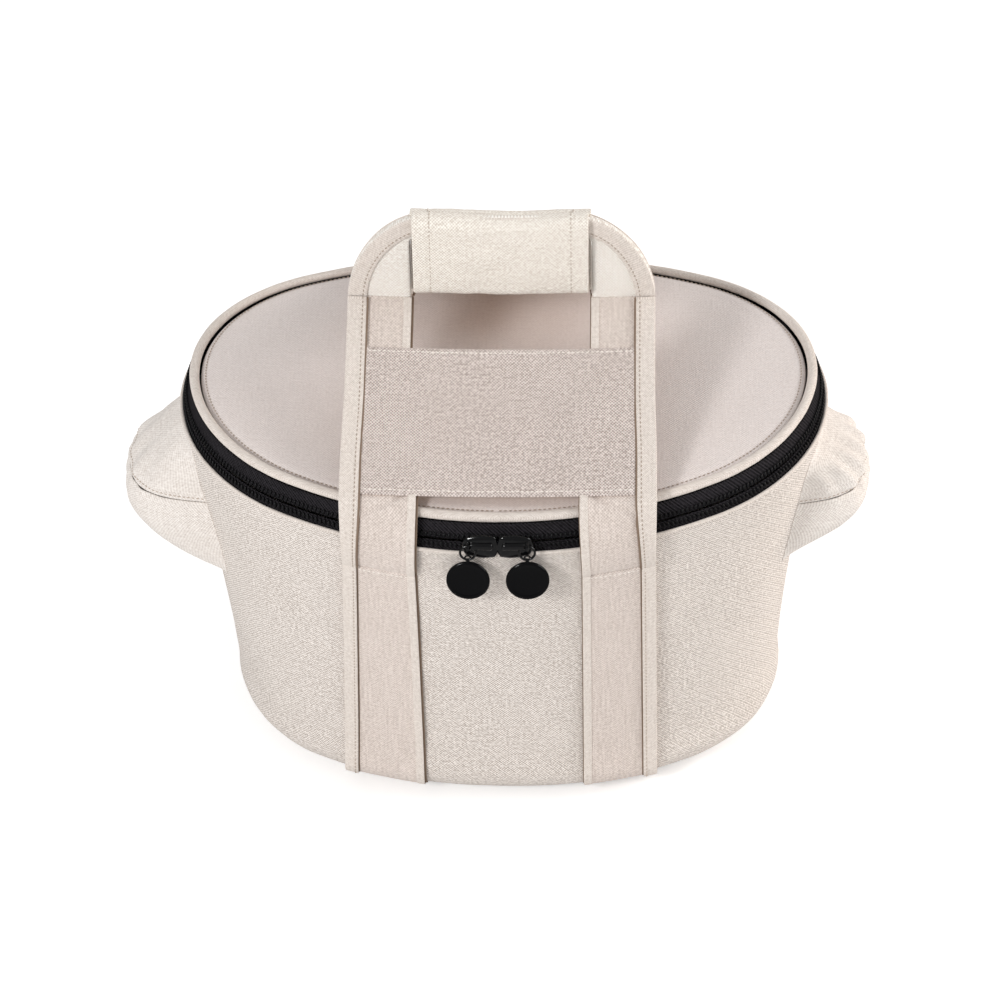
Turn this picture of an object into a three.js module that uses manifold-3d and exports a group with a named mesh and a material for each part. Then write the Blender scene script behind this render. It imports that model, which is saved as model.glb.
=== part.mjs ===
// Insulated oval tote bag for a lidded casserole, in millimetres.
// +Z is up, +X is to the right and the front, with the zip pulls, faces -Y.
import * as THREE from "three";
import Module from "manifold-3d";

const wasm = await Module();
wasm.setup();

// Oval outline of the lid, at the outer edge of its piping
const lidHalfLength = 178;
const lidHalfWidth = 127;
const endRadius = 111;

// Heights above the surface that the bag stands on
const rimHeight = 227;
const rimRise = 10;

// Side wall
const zipBand = 16;
const rimFlare = 6;
const baseInset = 19.5;
const baseCorner = 23;
const waistPull = 3;

// Cloth and padding
const canvas = 1.4;
const foam = 5;
const lining = 0.8;
const boardThickness = 2;
const gap = 0.3;
const seatGap = 0.6;

// Lid
const pipingRadius = 2.8;
const pipingLift = 2.2;
const lidPanelRise = 3.4;

// Zip
const tape = 0.8;
const bandLean = 0.28;
const tapeTuck = 9;
const seamDrop = 10.5;
const coilHeight = 4.4;
const coilThickness = 2.4;
const coilSpacing = 1.4;
const hemHeight = 4;

// Pockets at the two ends, for the pot's handles
const earReach = 36.5;
const earTopDrop = 28;
const earBottomDrop = 101.5;
const earSeamDrop = 57.5;
const earHalfWidthTop = 36;
const earHalfWidthBottom = 50;
const earWindowMargin = 9;
const earLiningGap = 1;

// Straps, handles and grips
const strapInner = 45;
const strapOuter = 87;
const webbing = 2.4;
const bindingWidth = 11;
const binding = 1;
const stitchDrop = 37;
const strapFoot = 3;
const foldY = 119.5;
const foldRise = 9;
const strapBulge = 13;
const strapOverRim = 10.5;
const strapRise = 15;
const strapFall = 4;
const frontBendRise = 61.9;
const rearBendRise = 58.9;
const archHeight = 56;
const archBar = 15.5;
const archCornerWidth = 45;
const panelStart = 2;
const panelEnd = 94.5;
const panelSideGap = 0.6;
const gripWidth = 96;
const gripEndGap = 2.5;
const gripBottom = 5.5;
const gripFront = 7;
const gripCorner = 4;
const hookStrip = 0.8;
const hookStripWidth = 80;
const hookStripHeight = 24;
const hookStripMargin = 3;

// Sliders and their pulls
const sliderLength = 18;
const sliderNoseGap = 0.5;
const sliderHeight = 12;
const sliderPlate = 1.6;
const sliderNoseCut = 3;
const sliderTailTaper = 5;
const sliderTailCut = 2.5;
const sliderWebInset = 2;
const joinDepth = 0.1;
const sliderBackPlate = 1;
const sliderBackHeight = 9;
const sliderWeb = 0.8;
const plateClearance = 0.4;
const bailInset = 2.3;
const bailWidth = 1.6;
const bailBar = 1.2;
const bailTunnel = 3;
const bailRise = 2.5;
const ringRadius = 4.2;
const ringWire = 0.7;
const discRadius = 12;
const discThickness = 2.4;
const discBevel = 0.6;
const lugLength = 3.4;
const lugWidth = 4;
const lugOverRing = 0.9;

// Facets
const outlineSteps = 48;
const cornerSteps = 3;
const wallSteps = 4;
const lidRings = 3;
const endTurn = outlineSteps / 4;
const gussetHalfSteps = 3;
const zipEndStep = outlineSteps / 2 - gussetHalfSteps;

// Four-centre oval through the lid's half length and half width
const sideCentre = lidHalfLength - endRadius;
const widthBeyondEnd = lidHalfWidth - endRadius;
const frontCentre = (sideCentre ** 2 - widthBeyondEnd ** 2) / (2 * widthBeyondEnd);
const frontRadius = lidHalfWidth + frontCentre;
const frontHalfAngle = Math.atan2(sideCentre, frontCentre);
const frontQuarter = frontHalfAngle * frontRadius;
const perimeter = 4 * (frontQuarter + (Math.PI / 2 - frontHalfAngle) * endRadius);

const bodyTop = rimHeight - zipBand;
const zipSeam = rimHeight - seamDrop;
const flatOffset = -baseInset - baseCorner;
const tapeFoot = bodyTop - tapeTuck;
const hemTop = tapeFoot + hemHeight;
const strapTop = rimHeight - stitchDrop;
const holeHalfWidth = gripWidth / 2 + gripEndGap;
const holeCorner = gripEndGap - gap;

const canvasCream = new THREE.MeshStandardMaterial({ color: 0xe4dbd1, roughness: 0.9 });
const canvasGrey = new THREE.MeshStandardMaterial({ color: 0xcfc6c0, roughness: 0.9 });
const zipBlack = new THREE.MeshStandardMaterial({ color: 0x17171a, roughness: 0.7 });
const metalBlack = new THREE.MeshStandardMaterial({ color: 0x0c0c0e, roughness: 0.25, metalness: 0.8 });
const foamGrey = new THREE.MeshStandardMaterial({ color: 0xbfc3c6, roughness: 0.95 });
const liningGrey = new THREE.MeshStandardMaterial({ color: 0xb9b6b0, roughness: 0.7 });
const boardGrey = new THREE.MeshStandardMaterial({ color: 0x8d8780, roughness: 0.8 });

const bag = new THREE.Group();

// A point of the oval: turn counts round from the front centre, +X first, in whole turns
function outlinePoint(turn, offset) {
  const side = Math.sign(turn) || 1;
  const share = Math.abs(turn);
  const rear = share > 0.25;
  const length = (rear ? 0.5 - share : share) * perimeter;
  const onFrontArc = length <= frontQuarter;
  const angle = onFrontArc ? length / frontRadius : frontHalfAngle + (length - frontQuarter) / endRadius;
  const radius = (onFrontArc ? frontRadius : endRadius) + offset;
  const x = (onFrontArc ? 0 : sideCentre) + radius * Math.sin(angle);
  const y = (onFrontArc ? frontCentre : 0) - radius * Math.cos(angle);
  return [side * x, rear ? -y : y];
}

// How far the front wall stands out at x, for a surface that far outside the lid's outline
function frontReach(x, offset) {
  return Math.sqrt((frontRadius + offset) ** 2 - x ** 2) - frontCentre;
}

// The rim is saddle shaped: its ends stand higher than its front and rear
function saddle([x, y, z]) {
  const share = Math.min(Math.max(z / rimHeight, 0), 1);
  return [x, y, z + rimRise * (x / lidHalfLength) ** 2 * share ** 2];
}

function mix(from, to, share) {
  return from + (to - from) * share;
}

function range(from, to, count) {
  return Array.from({ length: count + 1 }, (_, index) => mix(from, to, index / count));
}

// Points with one index each and triangles that keep three corners
function weld(points, faces) {
  const keys = new Map();
  const places = [];
  const indexOf = points.map((point) => {
    const key = point.map((value) => Math.round(value * 1e5)).join(",");
    if (!keys.has(key)) {
      keys.set(key, places.length / 3);
      places.push(...point);
    }
    return keys.get(key);
  });
  const triangles = [];
  for (const face of faces) {
    const [a, b, c] = face.map((corner) => indexOf[corner]);
    if (a !== b && b !== c && c !== a) {
      triangles.push(a, b, c);
    }
  }
  return turnOutward({ places, triangles });
}

function turnOutward(shape) {
  const { places, triangles } = shape;
  const corner = (index) => new THREE.Vector3().fromArray(places, 3 * index);
  let volume = 0;
  for (let i = 0; i < triangles.length; i += 3) {
    const [a, b, c] = [corner(triangles[i]), corner(triangles[i + 1]), corner(triangles[i + 2])];
    volume += a.dot(b.cross(c));
  }
  if (volume < 0) {
    triangles.reverse();
  }
  return shape;
}

// A wall between two grids of points with the same rows and columns
function wallBetween(outer, inner, closed = false) {
  const columns = outer.length;
  const rows = outer[0].length;
  const points = [...outer.flat(), ...inner.flat()];
  const faces = [];
  const at = (layer, column, row) => (layer * columns + (column % columns)) * rows + row;
  const quad = (a, b, c, d) => faces.push([a, b, c], [a, c, d]);
  const lastColumn = closed ? columns : columns - 1;
  for (let i = 0; i < lastColumn; i += 1) {
    for (let j = 0; j < rows - 1; j += 1) {
      quad(at(0, i, j), at(0, i + 1, j), at(0, i + 1, j + 1), at(0, i, j + 1));
      quad(at(1, i, j), at(1, i, j + 1), at(1, i + 1, j + 1), at(1, i + 1, j));
    }
    quad(at(0, i, 0), at(1, i, 0), at(1, i + 1, 0), at(0, i + 1, 0));
    const top = rows - 1;
    quad(at(0, i, top), at(0, i + 1, top), at(1, i + 1, top), at(1, i, top));
  }
  if (!closed) {
    const end = columns - 1;
    for (let j = 0; j < rows - 1; j += 1) {
      quad(at(0, 0, j), at(0, 0, j + 1), at(1, 0, j + 1), at(1, 0, j));
      quad(at(0, end, j), at(1, end, j), at(1, end, j + 1), at(0, end, j + 1));
    }
  }
  return weld(points, faces);
}

// The same for a three.js geometry
function fromGeometry(geometry) {
  const source = geometry.index ? geometry.toNonIndexed() : geometry;
  const attribute = source.getAttribute("position");
  const points = [];
  const faces = [];
  for (let i = 0; i < attribute.count; i += 1) {
    points.push([attribute.getX(i), attribute.getY(i), attribute.getZ(i)]);
    if (i % 3 === 2) {
      faces.push([i - 2, i - 1, i]);
    }
  }
  return weld(points, faces);
}

function toManifold(shape) {
  return new wasm.Manifold(new wasm.Mesh({
    numProp: 3,
    vertProperties: new Float32Array(shape.places),
    triVerts: new Uint32Array(shape.triangles),
  }));
}

function fromManifold(manifold) {
  const mesh = manifold.getMesh();
  return { places: Array.from(mesh.vertProperties), triangles: Array.from(mesh.triVerts) };
}

function cut(shape, ...tools) {
  return fromManifold(tools.reduce((rest, tool) => rest.subtract(toManifold(tool)), toManifold(shape)));
}

function join(...shapes) {
  return fromManifold(shapes.map(toManifold).reduce((sum, next) => sum.add(next)));
}

function moved(shape, change) {
  const places = [];
  for (let i = 0; i < shape.places.length; i += 3) {
    places.push(...change(shape.places.slice(i, i + 3)));
  }
  return turnOutward({ places, triangles: [...shape.triangles] });
}

function mirrored(shape, axis) {
  return moved(shape, (point) => point.map((value, index) => (index === axis ? -value : value)));
}

// Adds one named piece, bent to the saddle of the rim
function add(name, shape, material) {
  const bent = moved(shape, saddle);
  const geometry = new THREE.BufferGeometry();
  geometry.setAttribute("position", new THREE.Float32BufferAttribute(bent.places, 3));
  geometry.setIndex(bent.triangles);
  geometry.computeVertexNormals();
  const mesh = new THREE.Mesh(geometry, material);
  mesh.name = name;
  bag.add(mesh);
}

// How far outside the lid's outline the canvas wall stands at a height
function wallOffset(z) {
  const share = (z - baseCorner) / (bodyTop - baseCorner);
  return mix(-baseInset, rimFlare, share) - waistPull * 4 * share * (1 - share);
}

// Outline of the wall in section, a depth inside its outer face, from the base seam up
function wallProfile(depth, top) {
  const corner = range(0, Math.PI / 2, cornerSteps).map((angle) => [
    flatOffset + (baseCorner - depth) * Math.sin(angle),
    baseCorner - (baseCorner - depth) * Math.cos(angle),
  ]);
  const wall = range(baseCorner, top, wallSteps).slice(1).map((z) => [wallOffset(z) - depth, z]);
  return [...corner, ...wall];
}

// How far outside the outline the zip's tape stands at a height
function bandOffset(z) {
  const lean = -0.5 + bandLean * (rimHeight - z);
  return z >= bodyTop ? lean : wallOffset(z) - canvas - gap;
}

function turnsBetween(firstStep, lastStep, endGap = 0) {
  const turns = range(firstStep, lastStep, Math.round(lastStep - firstStep)).map((step) => step / outlineSteps);
  turns[0] += endGap / perimeter;
  turns[turns.length - 1] -= endGap / perimeter;
  return turns;
}

// A loft of the oval: sections are [offset, z] pairs of the outer and the inner face
function ovalWall(turns, outerProfile, innerProfile, closed = false) {
  const face = (profile) => turns.map((turn) => profile.map(([offset, z]) => [...outlinePoint(turn, offset), z]));
  return wallBetween(face(outerProfile), face(innerProfile), closed);
}

const wholeTurn = turnsBetween(-outlineSteps / 2, outlineSteps / 2).slice(0, -1);

function ovalDisc(offset, low, high, rings) {
  const shares = range(0, 1, rings);
  const face = (z) => wholeTurn.map((turn) => {
    const [x, y] = outlinePoint(turn, offset);
    return shares.map((share) => [x * share, y * share, z]);
  });
  return wallBetween(face(high), face(low), true);
}

// A round tube that follows the whole oval
function ovalTube(offset, z, radius) {
  const sides = 8;
  const around = range(0, 2 * Math.PI, sides).slice(0, -1);
  const points = wholeTurn.flatMap((turn) => around.map((angle) => [
    ...outlinePoint(turn, offset + radius * Math.cos(angle)),
    z + radius * Math.sin(angle),
  ]));
  const faces = [];
  for (let i = 0; i < wholeTurn.length; i += 1) {
    const next = (i + 1) % wholeTurn.length;
    for (let j = 0; j < sides; j += 1) {
      const after = (j + 1) % sides;
      const [a, b] = [i * sides + j, next * sides + j];
      const [c, d] = [next * sides + after, i * sides + after];
      faces.push([a, b, c], [a, c, d]);
    }
  }
  return weld(points, faces);
}

// Half width of an end pocket at a height share, 0 at its foot and 1 at its top
function earHalfWidth(share) {
  return mix(earHalfWidthBottom, earHalfWidthTop, share);
}

const earTop = rimHeight - earTopDrop;
const earBottom = rimHeight - earBottomDrop;
const earSeamShare = (earBottomDrop - earSeamDrop) / (earBottomDrop - earTopDrop);

// How far the pocket bulges, as a share of its reach: full below its seam, and sloping above it
function earBulge(across, share) {
  const sideways = (1 - across ** 4) ** 1.4;
  if (share <= earSeamShare) {
    return sideways * Math.sin((Math.PI / 2) * (share / earSeamShare)) ** 0.4;
  }
  const above = Math.min((share - earSeamShare) / (1 - earSeamShare), 1);
  return sideways * (1 - above ** 1.26) ** 1.4;
}

// A point of the pocket's wall, a depth inside its outer face
function earPoint(across, share, depth) {
  const z = mix(earBottom + depth, earTop - depth, share);
  const turn = 0.25 + (across * (earHalfWidth(share) - depth)) / perimeter;
  const reach = (earReach - depth) * earBulge(across, share);
  return [...outlinePoint(turn, wallOffset(z) + seatGap + reach), z];
}

function earShell(shares, outerDepth, innerDepth) {
  const acrossSteps = range(-Math.PI / 2, Math.PI / 2, 10).map((angle) => Math.sin(angle));
  const face = (depth) => acrossSteps.map((across) => shares.map((share) => earPoint(across, share, depth)));
  return wallBetween(face(outerDepth), face(innerDepth));
}

// The opening from the bag into a pocket, as a block to cut with
function earWindow(margin) {
  const low = earBottom + margin;
  const high = earTop - margin;
  const lowHalf = earHalfWidthBottom - margin;
  const highHalf = earHalfWidthTop - margin;
  const outline = new THREE.Shape();
  outline.moveTo(-lowHalf + margin, low);
  outline.lineTo(lowHalf - margin, low);
  outline.lineTo(lowHalf - margin / 2, low + margin);
  outline.lineTo(highHalf - margin / 2, high);
  outline.lineTo(-highHalf + margin / 2, high);
  outline.lineTo(-lowHalf + margin / 2, low + margin);
  const block = new THREE.ExtrudeGeometry(outline, { depth: lidHalfLength, bevelEnabled: false });
  block.rotateX(Math.PI / 2);
  block.rotateZ(Math.PI / 2);
  block.translate(lidHalfLength / 2, 0, 0);
  return fromGeometry(block);
}

function addBody() {
  const rightWindow = earWindow(earWindowMargin);
  const windows = [rightWindow, mirrored(rightWindow, 0)];
  const layer = (turns, start, thickness, top, closed) => cut(
    ovalWall(turns, wallProfile(start, top), wallProfile(start + thickness, top), closed), ...windows);
  const frontTurns = turnsBetween(-endTurn, endTurn, gap / 2);
  const rearTurns = turnsBetween(endTurn, 3 * endTurn, gap / 2).map((turn) => (turn > 0.5 ? turn - 1 : turn));
  add("front_panel", layer(frontTurns, 0, canvas, bodyTop), canvasCream);
  add("rear_panel", layer(rearTurns, 0, canvas, bodyTop), canvasCream);
  const foamTop = tapeFoot - gap;
  const foamStart = canvas + gap;
  const liningStart = foamStart + foam + gap;
  add("wall_foam", layer(wholeTurn, foamStart, foam, foamTop, true), foamGrey);
  add("wall_lining", layer(wholeTurn, liningStart, lining, foamTop, true), liningGrey);
  const baseOffset = flatOffset - gap;
  add("base_panel", ovalDisc(baseOffset, 0, canvas, 1), canvasCream);
  const boardTop = foamStart + boardThickness;
  add("base_board", ovalDisc(baseOffset, foamStart, boardTop, 1), boardGrey);
  add("base_foam", ovalDisc(baseOffset, boardTop + gap, foamStart + foam, 1), foamGrey);
  add("base_lining", ovalDisc(baseOffset, liningStart, liningStart + lining, 1), liningGrey);
  const hemOuter = bandOffset(tapeFoot) - tape - gap;
  const hemInner = wallOffset(tapeFoot) - liningStart - lining;
  const hem = (offset) => [[offset, tapeFoot], [offset, hemTop]];
  add("rim_hem", ovalWall(wholeTurn, hem(hemOuter), hem(hemInner), true), liningGrey);
}

function addEars() {
  const seamGap = gap / (2 * (earTop - earBottom));
  const lowShares = range(0, earSeamShare - seamGap, 4);
  const highShares = range(earSeamShare + seamGap, 1, 5);
  const liningDepth = canvas + earLiningGap;
  const upper = earShell(highShares, 0, canvas);
  const lower = earShell(lowShares, 0, canvas);
  const inside = earShell([...lowShares, ...highShares], liningDepth, liningDepth + lining);
  const sides = [["right", (shape) => shape], ["left", (shape) => mirrored(shape, 0)]];
  for (const [side, place] of sides) {
    add(`${side}_ear_top`, place(upper), canvasCream);
    add(`${side}_ear_lower`, place(lower), canvasCream);
    add(`${side}_ear_lining`, place(inside), liningGrey);
  }
}

// One strip of the zip band between two heights, on the band's face
function bandStrip(turns, low, high, outerLift, innerLift) {
  const heights = low < bodyTop ? [low, bodyTop, high] : [low, high];
  const profile = (lift) => heights.map((z) => [bandOffset(z) + lift, z]);
  return ovalWall(turns, profile(outerLift), profile(innerLift));
}

function addZip() {
  const zipTurns = turnsBetween(-zipEndStep, zipEndStep);
  const rearStart = outlineSteps / 2 - gussetHalfSteps;
  const rearTurns = turnsBetween(rearStart, rearStart + 2 * gussetHalfSteps, gap)
    .map((turn) => (turn > 0.5 ? turn - 1 : turn));
  const half = coilSpacing / 2;
  const tapeTop = rimHeight - gap;
  const coilOuter = coilThickness + gap;
  add("lower_zip_tape", bandStrip(zipTurns, tapeFoot, zipSeam - half, 0, -tape), zipBlack);
  add("lower_zip_coil",
    bandStrip(zipTurns, zipSeam - half - coilHeight, zipSeam - half, coilOuter, gap), zipBlack);
  add("upper_zip_tape", bandStrip(zipTurns, zipSeam + half, tapeTop, 0, -tape), zipBlack);
  add("upper_zip_coil",
    bandStrip(zipTurns, zipSeam + half, zipSeam + half + coilHeight, coilOuter, gap), zipBlack);
  add("rear_gusset_lower", bandStrip(rearTurns, tapeFoot, zipSeam - gap / 2, 0, -tape), canvasCream);
  add("rear_gusset_upper", bandStrip(rearTurns, zipSeam + gap / 2, tapeTop, 0, -tape), canvasCream);
}

function addLid() {
  const pipingHeight = rimHeight + pipingLift + gap;
  const panelOffset = -2 * pipingRadius - gap;
  const panelTop = rimHeight + lidPanelRise;
  const foamTop = panelTop - canvas - gap;
  const liningTop = foamTop - foam - gap;
  add("lid_piping", ovalTube(-pipingRadius, pipingHeight, pipingRadius), canvasCream);
  add("lid_panel", ovalDisc(panelOffset, panelTop - canvas, panelTop, lidRings), canvasGrey);
  add("lid_foam", ovalDisc(panelOffset, foamTop - foam, foamTop, lidRings), foamGrey);
  add("lid_lining", ovalDisc(panelOffset, liningTop - lining, liningTop, lidRings), liningGrey);
}

// The two grips meet in the middle, each behind its own arch
const foldZ = rimHeight + foldRise;
const gripBack = webbing / 2 + gap + canvas;
const archY = gripBack + gap / 2;
const gripTop = archHeight + gap + canvas;

// A handle in section: it leans back from the fold up to its bend, and is upright above that
function handleSection(bendRise) {
  const bendZ = rimHeight + bendRise;
  const planeRun = foldY - archY;
  const planeLength = Math.hypot(planeRun, bendZ - foldZ);
  const planeAngle = Math.atan2(bendZ - foldZ, planeRun);
  return { bendZ, planeLength, planeAngle };
}

// A point of a handle's cloth: along counts from the fold, lift is towards the front
function handlePoint({ planeLength, planeAngle }, x, along, lift) {
  const upright = Math.PI / 2;
  const bendAngle = (planeAngle + upright) / 2;
  const atBend = Math.abs(along - planeLength) < 1e-6;
  const angle = atBend ? bendAngle : along < planeLength ? planeAngle : upright;
  const reach = atBend ? lift / Math.cos(upright - bendAngle) : lift;
  const onPlane = Math.min(along, planeLength);
  const above = Math.max(along - planeLength, 0);
  const y = -foldY + onPlane * Math.cos(planeAngle) - reach * Math.sin(angle);
  const z = foldZ + onPlane * Math.sin(planeAngle) + above + reach * Math.cos(angle);
  return [x, y, z];
}

// Centre line of a strap at x, from its stitch line over the rim and up the handle's plane
function strapPath(section, x) {
  const foot = [-frontReach(x, wallOffset(strapTop) + gap + webbing / 2), strapTop + gap / 2];
  const bulge = [-frontReach(x, strapBulge), strapTop + strapRise];
  const overRim = [-frontReach(x, strapOverRim), foldZ - strapFall];
  const fold = [-foldY, foldZ];
  const corners = [foot, bulge, overRim, fold].map((corner) => new THREE.Vector2(...corner));
  const curve = new THREE.CubicBezierCurve(...corners);
  const lower = curve.getPoints(9).map(({ x: y, y: z }) => [y, z]);
  const planeStops = range(0, panelEnd - gap, 4).slice(1);
  const upper = planeStops.map((along) => handlePoint(section, x, along, 0).slice(1));
  return [...lower, ...upper];
}

// A strip along a path of [y, z] points for each x, from one lift to another; its foot is cut level
function ribbon(paths, xs, low, high) {
  const face = (lift) => paths.map((path, column) => path.map(([y, z], row) => {
    const before = path[Math.max(row - 1, 0)];
    const after = path[Math.min(row + 1, path.length - 1)];
    const length = Math.hypot(after[0] - before[0], after[1] - before[1]);
    const away = row === 0 ? [-1, 0] : [-(after[1] - before[1]) / length, (after[0] - before[0]) / length];
    return [xs(row)[column], y + lift * away[0], z + lift * away[1]];
  }));
  return wallBetween(face(high), face(low));
}

function handleStrap(section) {
  const columns = range(strapInner, strapOuter, 4);
  const paths = columns.map((x) => strapPath(section, x));
  return ribbon(paths, () => columns, -webbing / 2, webbing / 2);
}

function handleStrapBinding(section) {
  const columns = range(strapOuter - bindingWidth, strapOuter, 1);
  const paths = columns.map((x) => strapPath(section, x));
  const low = webbing / 2 + gap;
  return ribbon(paths, () => columns, low, low + binding);
}

// Half outline of the arch as [x, along] pairs, inset from its outer edge; its corner starts at the bend
function archEdge({ planeLength }, inset) {
  const outerX = strapOuter - 1 - inset;
  const [width, height] = [archCornerWidth - inset, archHeight - inset];
  const cornerX = outerX - width;
  const legs = [panelEnd + gap, planeLength].map((along) => [outerX, along]);
  const corner = range(0, Math.PI / 2, 6).slice(1).map((angle) => [
    cornerX + width * Math.cos(angle), planeLength + height * Math.sin(angle)]);
  const bar = [[cornerX / 2, planeLength + height], [0, planeLength + height]];
  return [...legs, ...corner, ...bar];
}

function archHole({ planeLength }) {
  const archInside = planeLength + archHeight - archBar;
  const cornerAlong = archInside - holeCorner;
  const cornerX = holeHalfWidth - holeCorner;
  const legs = [panelEnd + gap, planeLength, cornerAlong].map((along) => [holeHalfWidth, along]);
  const corner = range(0, Math.PI / 2, 5).slice(1).map((angle) => [
    cornerX + holeCorner * Math.cos(angle), cornerAlong + holeCorner * Math.sin(angle)]);
  const bar = [[cornerX / 2, archInside], [0, archInside]];
  return [...legs, ...corner, ...bar];
}

function archStrip(section, outerHalf, innerHalf, low, high) {
  const whole = (half) => [...half, ...half.slice(0, -1).reverse().map(([x, along]) => [-x, along])];
  const [outer, inner] = [whole(outerHalf), whole(innerHalf)];
  const face = (lift) => outer.map((edge, index) => [edge, inner[index]]
    .map(([x, along]) => handlePoint(section, x, along, lift)));
  return wallBetween(face(high), face(low));
}

function handleArch(section) {
  return archStrip(section, archEdge(section, 0), archHole(section), -webbing / 2, webbing / 2);
}

function archBinding(section) {
  const low = webbing / 2 + gap;
  return archStrip(section, archEdge(section, 0), archEdge(section, bindingWidth), low, low + binding);
}

function handlePanel(section) {
  const half = strapOuter - bindingWidth - panelSideGap;
  const low = webbing / 2 + gap;
  const stops = range(panelStart, panelEnd, 4);
  const columns = range(-half, half, 8);
  const face = (lift) => columns.map((x) => stops.map((along) => handlePoint(section, x, along, lift)));
  return wallBetween(face(low + canvas), face(low));
}

function alongX(outline, width, steps) {
  const block = new THREE.ExtrudeGeometry(outline, { depth: width, steps, bevelEnabled: false, curveSegments: 2 });
  block.translate(0, 0, -width / 2);
  block.rotateY(Math.PI / 2);
  block.rotateX(Math.PI / 2);
  return fromGeometry(block);
}

// The front of a grip's section, down from the top: depth runs to the rear from the arch, height is above the bend
function roundGripFront(outline, inset) {
  const radius = gripCorner - inset;
  const edge = -gripFront + gripCorner;
  outline.lineTo(edge, gripTop - inset);
  outline.absarc(edge, gripTop - gripCorner, radius, Math.PI / 2, Math.PI);
  outline.absarc(edge, gripBottom + gripCorner, radius, Math.PI, 1.5 * Math.PI);
}

// The cover in section, stepped back behind its lower half for the hook strip
function coverOutline(inset) {
  const outline = new THREE.Shape();
  const back = gripBack - inset;
  const recessed = back - hookStrip - gap;
  const step = gripBottom + hookStripHeight + 2 * hookStripMargin + inset;
  outline.moveTo(recessed, gripBottom + inset);
  outline.lineTo(recessed, step);
  outline.lineTo(back, step);
  outline.lineTo(back, gripTop - inset);
  roundGripFront(outline, inset);
  return outline;
}

function gripCover() {
  const outline = coverOutline(0);
  outline.holes.push(coverOutline(canvas));
  return alongX(outline, gripWidth, 6);
}

// The foam fills the cover in front of the bar and below it
function gripFoam() {
  const outline = new THREE.Shape();
  const inset = canvas + gap;
  const back = gripBack - inset - hookStrip - gap;
  const barFront = -webbing / 2 - 2 * gap - binding;
  const underBar = archHeight - archBar - gap;
  outline.moveTo(back, gripBottom + inset);
  outline.lineTo(back, underBar);
  outline.lineTo(barFront, underBar);
  outline.lineTo(barFront, gripTop - inset);
  roundGripFront(outline, inset);
  return alongX(outline, gripWidth, 6);
}

function gripHookStrip() {
  const strip = new THREE.BoxGeometry(hookStripWidth, hookStrip, hookStripHeight, 4, 1, 1);
  strip.translate(0, gripBack - hookStrip / 2, gripBottom + hookStripMargin + hookStripHeight / 2);
  return fromGeometry(strip);
}

function addHandle(word, bendRise, place) {
  const section = handleSection(bendRise);
  const strap = handleStrap(section);
  const strapBinding = handleStrapBinding(section);
  const onArch = (shape) => moved(shape, ([x, y, z]) => [x, y - archY, z + section.bendZ]);
  const pieces = [
    ["right_handle_strap", strap, canvasGrey],
    ["left_handle_strap", mirrored(strap, 0), canvasGrey],
    ["right_strap_edging", strapBinding, canvasCream],
    ["left_strap_edging", mirrored(strapBinding, 0), canvasCream],
    ["handle_panel", handlePanel(section), canvasGrey],
    ["handle_arch", handleArch(section), canvasCream],
    ["arch_edging", archBinding(section), canvasCream],
    ["grip_cover", onArch(gripCover()), canvasCream],
    ["grip_foam", onArch(gripFoam()), foamGrey],
    ["grip_fastener", onArch(gripHookStrip()), canvasCream],
  ];
  for (const [name, shape, material] of pieces) {
    add(`${word}_${name}`, place(shape), material);
  }
}

function addHandles() {
  addHandle("front", frontBendRise, (shape) => shape);
  addHandle("rear", rearBendRise, (shape) => mirrored(shape, 1));
}

// The sewn-down strap on the wall, between two x and two depths outside the canvas
function bodyStrap(xs, low, high) {
  const levels = wallProfile(0, strapTop - gap / 2).filter(([, z]) => z >= strapFoot);
  const face = (lift) => xs.map((x) => levels.map(([offset, z]) => {
    const belowCorner = Math.max(baseCorner - z, 0) / baseCorner;
    const tilt = Math.asin(belowCorner);
    const [outward, down] = [lift * Math.cos(tilt), lift * Math.sin(tilt)];
    return [x, -frontReach(x, offset + outward), Math.max(z - down, 0.5)];
  }));
  return wallBetween(face(high), face(low));
}

function addBodyStraps() {
  const strap = bodyStrap(range(strapInner, strapOuter, 4), gap, gap + webbing);
  const edgingStart = 2 * gap + webbing;
  const edging = bodyStrap(range(strapOuter - bindingWidth, strapOuter, 1), edgingStart, edgingStart + binding);
  const sides = [["right", (shape) => shape], ["left", (shape) => mirrored(shape, 0)]];
  for (const [side, place] of sides) {
    add(`front_${side}_body_strap`, place(strap), canvasGrey);
    add(`rear_${side}_body_strap`, mirrored(place(strap), 1), canvasGrey);
    add(`front_${side}_body_edging`, place(edging), canvasCream);
    add(`rear_${side}_body_edging`, mirrored(place(edging), 1), canvasCream);
  }
}

function block(x, y, z, width, depth, height) {
  const box = new THREE.BoxGeometry(width, depth, height);
  box.translate(x, y, z);
  return fromGeometry(box);
}

// Offsets outside the lid's outline, at the front centre
const coilFace = bandOffset(bodyTop) + coilThickness + gap;
const plateInner = Math.max(coilFace, rimFlare) + plateClearance;
const plateOuter = plateInner + sliderPlate;
const backOuter = bandOffset(zipSeam + coilSpacing / 2 + coilHeight) - tape - plateClearance;
const sliderMiddle = sliderNoseGap + sliderLength / 2;
const bailX = sliderNoseGap + sliderLength - bailInset;
const pivotOffset = plateOuter + bailTunnel / 2;
const pivotZ = zipSeam + bailRise;

// Turns a piece made at the front centre to its place along the front arc
function alongFront(shape, distance) {
  const angle = distance / (frontRadius + plateOuter);
  return moved(shape, ([x, y, z]) => {
    const [dx, dy] = [x - distance, y - frontCentre];
    return [dx * Math.cos(angle) - dy * Math.sin(angle), frontCentre + dx * Math.sin(angle) + dy * Math.cos(angle), z];
  });
}

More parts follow.
